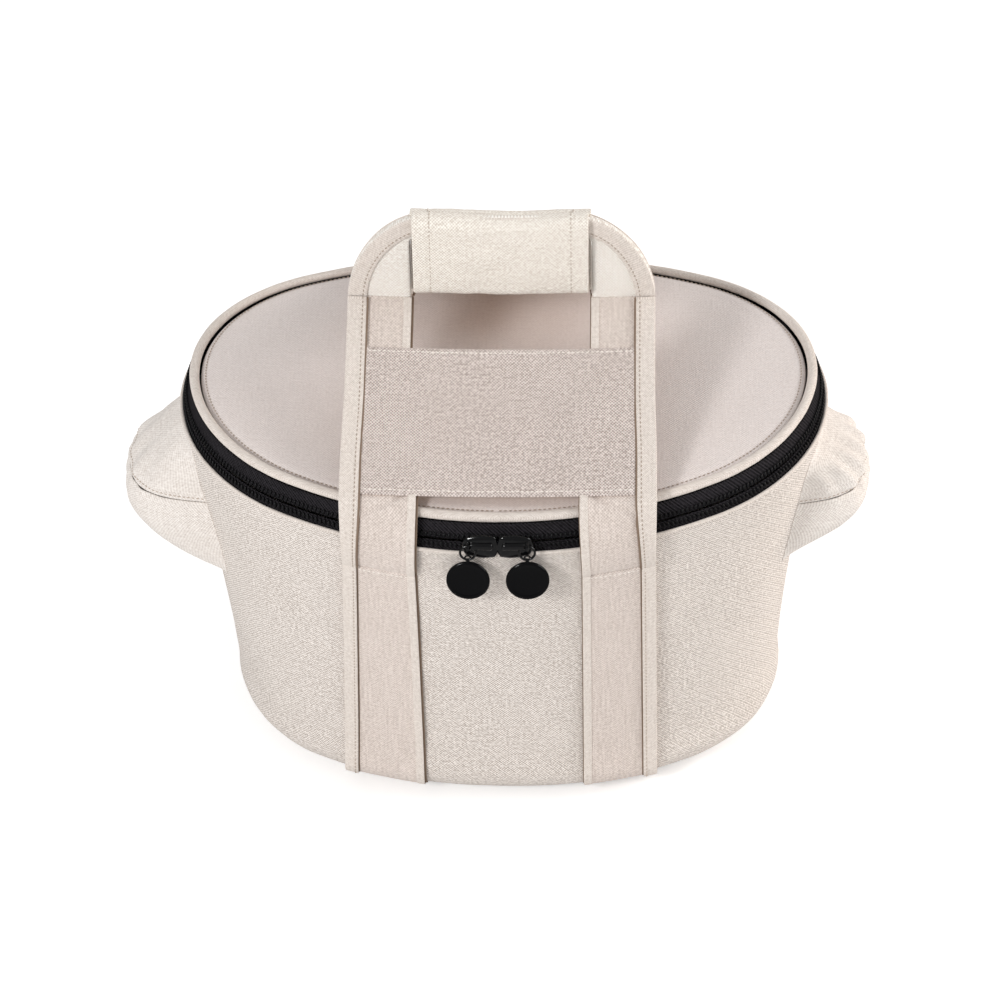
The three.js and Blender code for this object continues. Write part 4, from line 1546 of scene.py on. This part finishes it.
@dataclass
class Straps:
    """The four straps with their bindings, folds and stitches."""

    fold_lift: float = 0.6
    fold_thickness: float = 0.7
    binding_lift: float = 0.6
    # How far the painted shadow line stands out from the sewn and the free strap.
    seam_lift: Point2 = (0.35, 1.9)
    stitch_inset: float = 2.4
    tucked: float = 1.2

    def hang(self, piece: bpy.types.Object, end: End, finish: Finish, *nodes: str) -> None:
        """Dresses a free strap's piece, which lies between the bag and its handle, and bakes its place into its mesh.

        Args:
            piece: The piece, in place.
            end: The end of the bag.
            finish: Its finish.
            nodes: The solids that it replaces.
        """
        strap = STRAPS[end]
        foot = Vector((0.0, end.value * OVAL.reach(0, WALL.offset(strap.top)), strap.top)) * MM
        dress(piece, finish, nodes)
        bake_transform(piece)
        LOG.info("%s bends from the bag to the %s handle", piece.name, end.word)

    def build(self) -> None:
        """Builds and dresses the straps of all four corners."""
        for end in End:
            for side in Side:
                self.build_one(side, end)

    def build_one(self, side: Side, end: End) -> None:
        """Builds and dresses one strap."""
        strap = STRAPS[end]
        word = f"{end.word}_{side.word}"
        strips = (
            (Lane.FACE, 0.0, strap.webbing, 16, ("body_strap", "handle_strap"), Finish.STRAP),
            (Lane.BINDING, WALL.gap + self.binding_lift + strap.binding, strap.binding, 8,
             ("body_edging", "strap_edging"), Finish.TRIM),
            (Lane.FOLD, self.fold_lift, self.fold_thickness, 5, None, Finish.TRIM),
            # The last two strips are painted shadow, in a dark finish: a line along the binding's inner edge and a gap
            # along the strap's inner edge.
            (Lane.SEAM, 0.0, 0.0, 2, None, Finish.SEAM),
            (Lane.EDGE, -1.2, 0.6, 2, None, Finish.SEAM))
        for lane, lift, thickness, columns, nodes, finish in strips:
            rise, further = self.seam_lift if lane is Lane.SEAM else (0.0, 0.0)
            replaced, hung = ([f"{word}_{node}"] for node in nodes) if nodes else ([], [])
            place = mirrored(strap.sewn(lane, side, WALL.gap + strap.webbing + lift + rise), side, end)
            sewn = loft(f"{word}_sewn_{lane.value}", columns, 60, place)
            settle(thicken(sewn, thickness + rise), Body.BAG, finish, *replaced)
            outside = strap.webbing / 2 + lift + further
            place = mirrored(strap.free(lane, side, strap.plane_length + self.tucked, outside), side, end)
            free = loft(f"{word}_free_{lane.value}", columns, 96, place)
            self.hang(thicken(free, thickness + further), end, finish, *hung)
        self.sew_one(side, end, word)

    def sew_one(self, side: Side, end: End, word: str) -> None:
        """Sews one strap's bindings and its cross stitching."""
        strap = STRAPS[end]
        face = WALL.gap + self.binding_lift + strap.binding
        inset = self.stitch_inset / strap.binding_width
        column = 1 - inset if side.value * end.value > 0 else inset
        base = WALL.gap + strap.webbing
        lines: tuple[tuple[str, Place, Callable[[float], Point2], Finish], ...] = (
            ("sewn", strap.sewn(Lane.BINDING, side, base + face),
             lambda share: (column, mix(0.01, 0.985, share)), Finish.SOFT),
            ("free", strap.free(Lane.BINDING, side, strap.plane_length - WALL.gap, strap.webbing / 2 + face),
             lambda share: (column, mix(0.01, 0.995, share)), Finish.THREAD),
            ("cross", strap.sewn(Lane.CROSS, side, base),
             lambda share: (mix(0.02, 0.98, share), 0.985), Finish.PALE))
        for name, place, route, finish in lines:
            line = STITCH.sew(f"{word}_{name}_stitches", mirrored(place, side, end), route)
            if name == "free":
                self.hang(line, end, finish)
            else:
                settle(line, Body.BAG, finish)


@dataclass
class Outline:
    """A closed section with rounded corners, walked by its length."""

    corners: tuple[tuple[float, float, float], ...]
    steps: int = 6

    @cached_property
    def points(self) -> list[Vector]:
        """Returns the points round the section, each square corner as an arc."""
        made = []
        for number, (y, z, radius) in enumerate(self.corners):
            here = Vector((y, z))
            before = (Vector(self.corners[number - 1][:2]) - here).normalized()
            after = (Vector(self.corners[(number + 1) % len(self.corners)][:2]) - here).normalized()
            for step in range(self.steps + 1):
                angle = math.pi / 2 * step / self.steps
                turned = after * (1 - math.cos(angle)) + before * (1 - math.sin(angle))
                made.append(here + turned * radius)
        made.append(made[0].copy())
        return made

    @cached_property
    def marks(self) -> list[float]:
        """Returns each point's length from the first."""
        return run_lengths(self.points)

    def at(self, share: float) -> tuple[Vector, Vector]:
        """Returns the point a share of the way round, and the way out from it."""
        wanted = (share % 1.0) * self.marks[-1]
        index = next(number for number in range(len(self.marks) - 1) if wanted < self.marks[number + 1])
        start, end = self.points[index], self.points[index + 1]
        step = self.marks[index + 1] - self.marks[index]
        ahead = (end - start).normalized()
        return start.lerp(end, (wanted - self.marks[index]) / step), Vector((-ahead.y, ahead.x))


@dataclass
class Handle:
    """One handle above its straps: cross panel, arch, bound edge and padded half of the grip."""

    end: End
    arch_height: float = 56.0
    arch_bar: float = 15.5
    arch_corner: float = 45.0
    shoulder: float = 1.12
    hole_corner: float = 2.2
    turned: float = 0.7
    hole_straight: float = 0.5
    grip_width: float = 96.0
    over_hole: dict[End, float] = field(default_factory=lambda: {End.FRONT: 0.9, End.REAR: 2.3})
    grip_front: float = 7.0
    grip_back: float = 2.9
    grip_bottom: float = 5.5
    grip_top: float = 57.7
    grip_corner: float = 6.0
    grip_edge: float = 1.2
    grip_wall: float = 1.7
    foam: float = 2.2
    hook_strip: float = 0.8
    hook_width: float = 80.0
    hook_low: float = 8.5
    hook_height: float = 24.0
    arch_ripple: Ripple = Ripple(0.5, 30.0, 11.2)
    arch_held: float = 10.0
    panel_sag: float = -0.9
    panel_waves: Ripple = Ripple(1.0, 40.0, 12.6)
    panel_loose: float = 0.6
    panel_uneven: float = 0.1
    grip_crown: float = 0.9
    grip_waves: Ripple = Ripple(0.8, 22.0, 13.1)
    hem: Crease = Crease(-0.5, 0.0, 2.0)
    hem_place: float = 0.8
    strap: StrapShape = field(init=False)
    droop: Crease = field(init=False)

    def __post_init__(self) -> None:
        """Picks the straps that the handle ends, and how far its grip's top sinks."""
        self.strap = STRAPS[self.end]
        self.droop = Crease(-2.0 if self.end is End.FRONT else -0.7, 6.0, 26.0)

    @property
    def panel_half(self) -> float:
        """Returns half the cross panel's flat width, which ends just short of the bindings."""
        return self.strap.outer - self.strap.binding_width - 0.6

    def here(self, place: Place) -> Place:
        """Returns a surface of the front, at the handle's own end."""
        return mirrored(place, Side.RIGHT, self.end)

    def outer_edge(self, part: float, inset: float) -> Point2:
        """Returns x and rise of the arch's outer edge, from its foot at 0 to its middle at 1."""
        corner_x = self.strap.leg_outer - self.arch_corner
        wide, tall = self.arch_corner - inset, self.arch_height - inset
        if part < self.turned:
            angle = math.pi / 2 * part / self.turned
            return (corner_x + wide * math.cos(angle) ** self.shoulder,
                    tall * math.sin(angle) ** self.shoulder)
        return mix(corner_x, 0.0, (part - self.turned) / (1 - self.turned)), tall

    def hole_edge(self, part: float) -> Point2:
        """Returns x and rise of the hand hole's edge, from its foot at 0 to its middle at 1."""
        side_x, top, radius = self.strap.leg_inner, self.arch_height - self.arch_bar, self.hole_corner
        if part < self.hole_straight:
            return side_x, (top - radius) * part / self.hole_straight
        if part < self.turned:
            angle = math.pi / 2 * (part - self.hole_straight) / (self.turned - self.hole_straight)
            return side_x - radius * (1 - math.cos(angle)), top - radius * (1 - math.sin(angle))
        return mix(side_x - radius, 0.0, (part - self.turned) / (1 - self.turned)), top

    def arch(self, band: float | None, lift: float) -> Place:
        """The surface of the arch, or of a band along its outer edge.

        Args:
            band: Width of the band, or None for the whole arch to its hole.
            lift: How far in front of the arch's middle it lies.

        Returns:
            The surface at the front, whose shares run along the arch and across it.
        """
        def place(u: float, v: float) -> Point:
            """Returns a point of the arch."""
            part = 1 - abs(2 * u - 1)
            outer = self.outer_edge(part, 0.0)
            inner = self.hole_edge(part) if band is None else self.outer_edge(part, band)
            x = mix(outer[0], inner[0], v) * (1 if u <= 0.5 else -1)
            rise = mix(outer[1], inner[1], v)
            ripple = self.arch_ripple.at(x, rise) * ease(rise / self.arch_held)
            return x, *self.strap.plane(self.strap.plane_length + WALL.gap + rise, lift + ripple)
        return place

    def panel(self, lift: float) -> Place:
        """Returns the cross panel's surface at the front."""
        strap = self.strap

        def place(u: float, v: float) -> Point:
            """Returns a point of the panel."""
            along = mix(strap.panel_start, strap.panel_end, v)
            x = mix(-1.0, 1.0, u) * (self.panel_half - strap.pulled(along))
            inside = strap.inner - strap.pulled(along) - 1.0 - abs(x)
            free = ease(inside / 20) * ease(v / 0.1) * ease((1 - v) / 0.1)
            sag = self.panel_sag * free + (self.panel_loose * free + self.panel_uneven) * self.panel_waves.at(x, along)
            return x, *strap.plane(along, lift + sag)
        return place

    def grip(self, inset: float, loose: bool) -> Place:
        """The padded half of the grip on this handle's bar.

        Args:
            inset: Distance inside its outer face.
            loose: Whether it is crowned and creased.

        Returns:
            The surface, whose shares run along x and round the section.
        """
        front, back = inset - self.grip_front, self.grip_back - inset
        low, high = self.grip_bottom + inset, self.grip_top - inset
        round_front, round_back = self.grip_corner - inset, max(self.grip_edge - inset, 0.3)
        section = Outline(((front, low, round_front), (front, high, round_front), (back, high, round_back),
                           (back, low, round_back)))
        half_width = self.grip_width / 2 + self.over_hole[self.end] - 0.3 * inset

        def place(u: float, v: float) -> Point:
            """Returns a point of the wrap."""
            x = mix(-half_width, half_width, u)
            at, out = section.at(v)
            height = (at.y - low) / (high - low)
            droop = self.droop.at(x) * ease((height - 0.75) / 0.25)
            if not loose:
                return x, at.x - self.strap.arch_y, at.y + self.strap.bend_z + droop
            middle = 1 - (2 * u - 1) ** 4
            forward = max(-out.x, 0.0)
            crown = self.grip_crown * middle * math.sin(math.pi * height) * forward
            soft = self.grip_waves.at(x, at.y * 1.5) * middle * (forward + 0.4 * max(out.y, 0.0))
            hem = self.hem.at(abs(x) - half_width * self.hem_place) * forward
            lift = crown + soft + hem
            return x, at.x - self.strap.arch_y + lift * out.x, at.y + self.strap.bend_z + lift * out.y + droop
        return place

    def build(self) -> None:
        """Builds and dresses the handle."""
        word, body = self.end.word, self.end.handle
        strap = self.strap
        mid = strap.webbing / 2
        place = self.here(self.panel(mid + WALL.gap + WALL.canvas))
        panel = thicken(loft(f"{word}_cross_panel", 72, 44, place), WALL.canvas)
        settle(panel, body, Finish.PANEL, f"{word}_handle_panel")
        # The panel's underside takes the warm tan of painted bounce light.
        panel.data.materials.append(Finish.REVERSE.made)
        panel.modifiers["thickness"].material_offset = 1
        width, length = 2 * self.panel_half, strap.panel_end - strap.panel_start
        cut = length * (width - 2 * sum(map(strap.pulled, range(round(length)))) / length)
        for name, row in (("low", 0.035), ("high", 0.97)):
            self.sew(f"panel_{name}", place, lambda share, row=row: (mix(0.01, 0.99, share), row), Finish.PALE)
        arch = lay_flat(loft(f"{word}_arch_canvas", 150, 14, self.here(self.arch(None, mid))), upright=True)
        # The arch takes the lighter copy of the grip's canvas, which paints in more light.
        settle(thicken(arch, strap.webbing), body, Finish.ARCH, f"{word}_handle_arch")
        bound = self.here(self.arch(strap.binding_width, mid + WALL.gap + strap.binding))
        edging = thicken(loft(f"{word}_arch_binding", 150, 6, bound), strap.binding)
        settle(edging, body, Finish.TRIM, f"{word}_arch_edging")
        self.sew("arch", bound, lambda share: (mix(0.005, 0.995, share), 0.78), Finish.THREAD)
        self.build_grip(word, body)

    def sew(self, name: str, place: Place, route: Callable[[float], Point2], finish: Finish) -> None:
        """Sews and dresses one line of stitches on the handle."""
        line = STITCH.sew(f"{self.end.word}_{name}_stitches", place, route)
        settle(line, self.end.handle, finish)

    def build_grip(self, word: str, body: Body) -> None:
        """Builds and dresses the padded half of the grip."""
        place = self.here(self.grip(0.0, True))
        cover = thicken(loft(f"{word}_grip_wrap", 64, 96, place), WALL.canvas)
        settle(cover, body, Finish.GRIP, f"{word}_grip_cover")
        for name, column in (("near", 0.1), ("far", 0.9)):
            self.sew(f"grip_{name}", place, lambda share, column=column: (column, share * 0.999), Finish.SOFT)
        foam = loft(f"{word}_grip_padding", 40, 72, self.here(self.grip(self.grip_wall, False)))
        settle(thicken(foam, self.foam, 0), body, Finish.FOAM, f"{word}_grip_foam")

        def strip(u: float, v: float) -> Point:
            """Returns a point of the hook-and-loop strip."""
            x = mix(self.hook_width / 2, -self.hook_width / 2, u)
            z = self.strap.bend_z + self.hook_low + self.hook_height * v
            return x, self.grip_back + 0.05 - self.strap.arch_y, z
        hooks = thicken(loft(f"{word}_hook_strip", 24, 10, self.here(strip)), self.hook_strip)
        settle(hooks, body, Finish.HOOK, f"{word}_grip_fastener")


# Sliders and pulls


@dataclass
class Pull:
    """One zip slider with its ring and its plain disc."""

    side: Side
    nose_gap: float = 0.5
    slider_length: float = 18.0
    face_length: float = 20.2
    face_height: float = 15.4
    face_lift: float = 0.8
    crown: float = 2.2
    squareness: float = 0.35
    taper: float = 0.12
    bridge: Point = (13.0, 3.2, 4.4)
    tilt: float = 7.0
    plate: float = 1.6
    coil: float = 2.4
    clearance: float = 0.4
    tunnel: float = 3.0
    bail_bar: float = 1.2
    bail_width: float = 1.6
    bail_inset: float = 2.3
    bail_rise: float = 2.5
    ring_radius: float = 4.2
    ring_wire: float = 0.7
    disc_radius: float = 12.0
    disc_thickness: float = 2.4
    lug_length: float = 3.4
    lug_width: float = 4.0

    @property
    def plate_outer(self) -> float:
        """Returns the offset of the plate's outer face."""
        coil_face = BAND.offset(WALL.body_top) + self.coil + WALL.gap
        return max(coil_face, WALL.flare) + self.clearance + self.plate

    @property
    def middle(self) -> float:
        """Returns the distance from the front centre to the slider's middle."""
        return self.nose_gap + self.slider_length / 2

    @property
    def bail_x(self) -> float:
        """Returns the bail's distance from the front centre."""
        return self.nose_gap + self.slider_length - self.bail_inset

    @property
    def pivot(self) -> Point:
        """Returns the point that the ring turns about, at the front centre."""
        return self.bail_x, -OVAL.half_width - self.plate_outer - self.tunnel / 2, BAND.seam + self.bail_rise

    def put(self, name: str, work: bmesh.types.BMesh) -> bpy.types.Object:
        """Moves a shape made at the front centre to its place on the zip.

        Args:
            name: The piece's name.
            work: The shape, in millimetres.

        Returns:
            The piece.
        """
        angle = self.middle / (OVAL.front_radius + self.plate_outer)
        for vertex in work.verts:
            dx, dy = vertex.co.x - self.middle, vertex.co.y - OVAL.front_centre
            x = dx * math.cos(angle) - dy * math.sin(angle)
            y = OVAL.front_centre + dx * math.sin(angle) + dy * math.cos(angle)
            vertex.co = OVAL.saddle((self.side.value * x, y, vertex.co.z))
        for face in work.faces:
            face.smooth = True
        bmesh.ops.recalc_face_normals(work, faces=work.faces)
        return to_object(name, work)

    def spin(self, work: bmesh.types.BMesh, shape: list, centre: Vector, steps: int) -> None:
        """Turns a section once round an axis from front to rear."""
        bmesh.ops.spin(work, geom=shape, cent=centre, axis=(0, 1, 0), angle=2 * math.pi, steps=steps, use_merge=True)

    def lump(self, work: bmesh.types.BMesh, centre: Point, size: Point, soft: float) -> None:
        """Adds a rounded block to a shape."""
        matrix = Matrix.Translation(centre) @ Matrix.Diagonal((*size, 1.0))
        made = bmesh.ops.create_cube(work, size=1.0, matrix=matrix)
        edges = list({edge for vertex in made["verts"] for edge in vertex.link_edges})
        bmesh.ops.bevel(work, geom=edges, offset=soft, offset_type="OFFSET", segments=3, profile=0.5,
                        affect="EDGES", material=-1)

    def slider(self) -> bmesh.types.BMesh:
        """Returns the slider at the front centre: crowned plate, web, back plate and bail."""
        work = bmesh.new()
        front = -OVAL.half_width
        face_y = front - self.plate_outer + self.plate / 2
        matrix = Matrix.Translation((self.middle, face_y, BAND.seam)) @ Matrix.Rotation(math.pi / 2, 4, "X")
        disc = bmesh.ops.create_uvsphere(work, u_segments=40, v_segments=20, radius=1.0, matrix=matrix)
        for vertex in disc["verts"]:
            dx, dy, dz = vertex.co.x - self.middle, vertex.co.y - face_y, vertex.co.z - BAND.seam
            tiny = 1e-6
            square = max(abs(dx), abs(dz), tiny) / max(math.hypot(dx, dz), tiny)
            grow = mix(1.0, 1 / max(square, 0.7), self.squareness)
            taper = 1 - self.taper * dx
            depth = self.crown if dy < 0 else self.plate / 2
            across = dx * grow * self.face_length / 2
            up = dz * grow * taper * self.face_height / 2
            vertex.co = Vector((self.middle + across, face_y + dy * depth, BAND.seam + self.face_lift + up))
        at = (self.middle - 0.6, face_y - self.crown, BAND.seam + self.face_lift + 1.8)
        self.lump(work, at, self.bridge, 1.5)
        inner = OVAL.half_width + BAND.offset(BAND.seam) - BAND.tape - self.clearance
        depth = OVAL.half_width + self.plate_outer - inner - 0.4
        self.lump(work, (self.middle, -inner - depth / 2, BAND.seam), (self.slider_length - 5, depth, 0.6), 0.2)
        self.lump(work, (self.middle, -inner + 0.5, BAND.seam), (self.slider_length - 2, 1.0, 9.0), 0.35)
        self.arm(work)
        return work

    def arm(self, work: bmesh.types.BMesh) -> None:
        """Adds the bail that the ring hangs in."""
        x, y, z = self.pivot
        reach = self.tunnel / 2 + self.bail_bar / 2
        steps = 12
        for step in range(steps):
            angle = math.pi * (step + 0.5) / steps
            centre = (x, y + self.tunnel / 2 - reach * 1.9 * math.sin(angle), z - reach * math.cos(angle))
            self.lump(work, centre, (self.bail_width, self.bail_bar, self.bail_bar), 0.3)

    def ring(self) -> bmesh.types.BMesh:
        """Returns the wire ring at the front centre."""
        work = bmesh.new()
        x, y, z = self.pivot
        middle = Vector((x, y, z - self.ring_radius))
        turned = Matrix.Translation(middle + Vector((self.ring_radius, 0, 0)))
        made = bmesh.ops.create_circle(work, segments=12, radius=self.ring_wire, matrix=turned)
        self.spin(work, made["verts"] + list(work.edges), middle, 40)
        return work

    def disc(self) -> bmesh.types.BMesh:
        """Returns the plain disc with its lug at the front centre."""
        work = bmesh.new()
        x, y, z = self.pivot
        top = z - 2 * self.ring_radius + self.ring_wire + WALL.gap + 0.9
        centre = Vector((x, y, top - self.lug_length - self.disc_radius))
        half = self.disc_thickness / 2
        rim = self.disc_radius
        profile = ((0.0, half - 0.5), (rim - 3.0, half - 0.5), (rim - 2.2, half - 0.25), (rim - 1.5, half),
                   (rim - 0.5, half - 0.15), (rim, half - 0.7), (rim, -half + 0.7), (rim - 0.6, -half),
                   (0.0, -half))
        points = [work.verts.new(centre + Vector((radius, -depth, 0))) for radius, depth in profile]
        edges = [work.edges.new(pair) for pair in pairwise(points)]
        self.spin(work, points + edges, centre, 56)
        bmesh.ops.remove_doubles(work, verts=work.verts, dist=0.01)
        self.lug(work, Vector((x, y, top - self.lug_length / 2)), half)
        return work

    def lug(self, work: bmesh.types.BMesh, centre: Vector, half: float) -> None:
        """Adds the eye at the disc's top, open from front to rear for the ring."""
        hole = self.ring_wire + WALL.gap
        bar = (self.lug_width / 2 - hole) / 2
        stem = self.lug_length - 0.9
        eye = centre + Vector((0.0, 0.0, self.lug_length / 2 - 0.9))
        before = set(work.edges)
        matrix = Matrix.Translation(eye + Vector((hole + bar, 0, 0)))
        made = bmesh.ops.create_circle(work, segments=10, radius=bar, matrix=matrix)
        edges = [edge for edge in work.edges if edge not in before]
        self.spin(work, made["verts"] + edges, eye, 24)
        self.lump(work, (eye.x, eye.y, eye.z - hole - bar - stem / 2), (2.0, half * 1.3, stem), 0.3)

    def tip(self, work: bmesh.types.BMesh) -> bmesh.types.BMesh:
        """Returns a hanging shape, tipped a little forward about the ring's top."""
        bmesh.ops.rotate(work, cent=self.pivot, matrix=Matrix.Rotation(math.radians(-self.tilt), 3, "X"),
                         verts=work.verts)
        return work

    def build(self) -> None:
        """Builds and dresses the slider and what hangs from it."""
        word = self.side.word
        for name, shape, body, finish, node in (
                ("slider_body", self.slider(), "zip_slider", Finish.GLOSS, "slider"),
                ("wire_ring", self.tip(self.ring()), "pull", Finish.GLOSS, "pull_ring"),
                ("plain_disc", self.tip(self.disc()), "pull", Finish.ENAMEL, "pull_disc")):
            settle(self.put(f"{word}_{name}", shape), f"{word}_{body}", finish, f"{word}_{node}")


# Floor, lamps and camera


@dataclass(frozen=True)
class Studio:
    """A pale floor, soft lamps and the camera at the photograph's angle."""

    floor_half: float = 4.0
    floor_tone: float = 0.9
    floor_mirrored: float = 0.2
    floor_lift: float = 0.35
    world_strength: float = 0.56
    mirror_strength: float = 0.15
    key_power: float = 27.0
    fill_power: float = 24.0
    warm_power: float = 12.0
    distance: float = 2.5
    elevation: float = 37.0
    yaw: float = -2.1
    roll: float = 1.1
    focal_pixels: float = 4393.0
    aim_u: float = 503.4
    aim_v: float = 384.0
    image: float = 1000.0

    def build(self) -> None:
        """Builds the floor, lamps, world and camera."""
        self.build_floor()
        self.build_world()
        self.build_lamp("key_lamp", Vector((-1.25, -1.75, 1.5)), 0.5, self.key_power)
        self.build_lamp("fill_lamp", Vector((2.2, -0.1, 1.4)), 1.4, self.fill_power)
        self.build_lamp("warm_lamp", Vector((2.0, 0.7, 0.6)), 0.9, self.warm_power, (1.0, 0.84, 0.7))
        self.build_camera()

    def build_floor(self) -> None:
        """Builds the floor, which the camera sees nearly white, shadowed, and glossy pieces mirror dimly."""
        work = bmesh.new()
        bmesh.ops.create_grid(work, x_segments=1, y_segments=1, size=self.floor_half)
        floor = to_object("floor", work)
        graph, made = start_material("pale floor")
        path = graph.node("ShaderNodeLightPath")
        tones = ((self.floor_tone,) * 3, (self.floor_mirrored,) * 3)
        graph.shade({"Base Color": graph.blend_colours(path.outputs["Is Glossy Ray"], *tones), "Roughness": 0.9,
                     "Emission Color": (1.0, 1.0, 1.0, 1.0),
                     "Emission Strength": graph.math("MULTIPLY", path.outputs["Is Camera Ray"], self.floor_lift)})
        floor.data.materials.append(made)

    def build_world(self) -> None:
        """Builds the even light all round, which the camera sees white and glossy pieces mirror dimly."""
        world = bpy.data.worlds.new("soft light")
        bpy.context.scene.world = world
        world.use_nodes = True
        graph = Graph(world.node_tree)
        path = graph.node("ShaderNodeLightPath")
        seen = graph.math("MAXIMUM", path.outputs["Is Camera Ray"], path.outputs["Is Transmission Ray"])
        strength = graph.math("ADD", self.world_strength, graph.math("MULTIPLY", seen, 1 - self.world_strength))
        dimmed = graph.math("MULTIPLY", path.outputs["Is Glossy Ray"], self.world_strength - self.mirror_strength)
        strength = graph.math("SUBTRACT", strength, dimmed)
        back = graph.node("ShaderNodeBackground")
        graph.feed(back, "Color", (1.0, 1.0, 1.0, 1.0))
        graph.feed(back, "Strength", strength)
        out = graph.node("ShaderNodeOutputWorld")
        graph.feed(out, "Surface", back.outputs[0])

    def build_lamp(self, name: str, place: Vector, size: float, power: float,
                   colour: Point = (1.0, 1.0, 1.0)) -> None:
        """Builds one soft lamp that points at the bag.

        Args:
            name: The lamp's name.
            place: Where it stands.
            size: Its width.
            power: Its power, in watts.
            colour: Its colour.
        """
        data = bpy.data.lights.new(name, "AREA")
        data.color = colour
        data.size = size
        data.energy = power
        lamp = bpy.data.objects.new(name, data)
        lamp.location = place
        lamp.rotation_euler = (Vector((0, 0, 0.15)) - place).to_track_quat("-Z", "Y").to_euler()
        bpy.context.scene.collection.objects.link(lamp)

    def build_camera(self) -> None:
        """Builds the camera that stands where the photograph's stood."""
        aim = Vector((0.0, 0.0, OVAL.rim_height * MM))
        level, up_angle = math.radians(self.yaw), math.radians(self.elevation)
        flat = self.distance * math.cos(up_angle)
        place = aim + Vector((-flat * math.sin(level), -flat * math.cos(level), self.distance * math.sin(up_angle)))
        ahead = (aim - place).normalized()
        right = ahead.cross(Vector((0, 0, 1))).normalized()
        up = right.cross(ahead)
        roll = math.radians(self.roll)
        right, up = right * math.cos(roll) - up * math.sin(roll), up * math.cos(roll) + right * math.sin(roll)
        middle = self.image / 2
        ahead = (ahead * self.focal_pixels + right * (middle - self.aim_u) + up * (self.aim_v - middle)).normalized()
        up = (up - ahead * up.dot(ahead)).normalized()
        right = ahead.cross(up)
        data = bpy.data.cameras.new("camera")
        data.sensor_width = 36.0
        data.lens = self.focal_pixels * data.sensor_width / self.image
        data.clip_end = 50.0
        camera = bpy.data.objects.new("camera", data)
        camera.matrix_world = Matrix.Translation(place) @ turned_to(right, up, -ahead)
        bpy.context.scene.collection.objects.link(camera)
        bpy.context.scene.camera = camera
        bpy.context.scene.view_settings.view_transform = "Standard"


def main() -> None:
    """Builds the whole scene in order."""
    logging.basicConfig(level=logging.INFO, format="%(message)s")
    Studio().build()
    for part in (BagBody(), EndPockets(), Zip(), Lid(), Straps(), Handle(End.FRONT), Handle(End.REAR),
                 Pull(Side.RIGHT), Pull(Side.LEFT)):
        part.build()


if __name__ == "__main__":
    main()
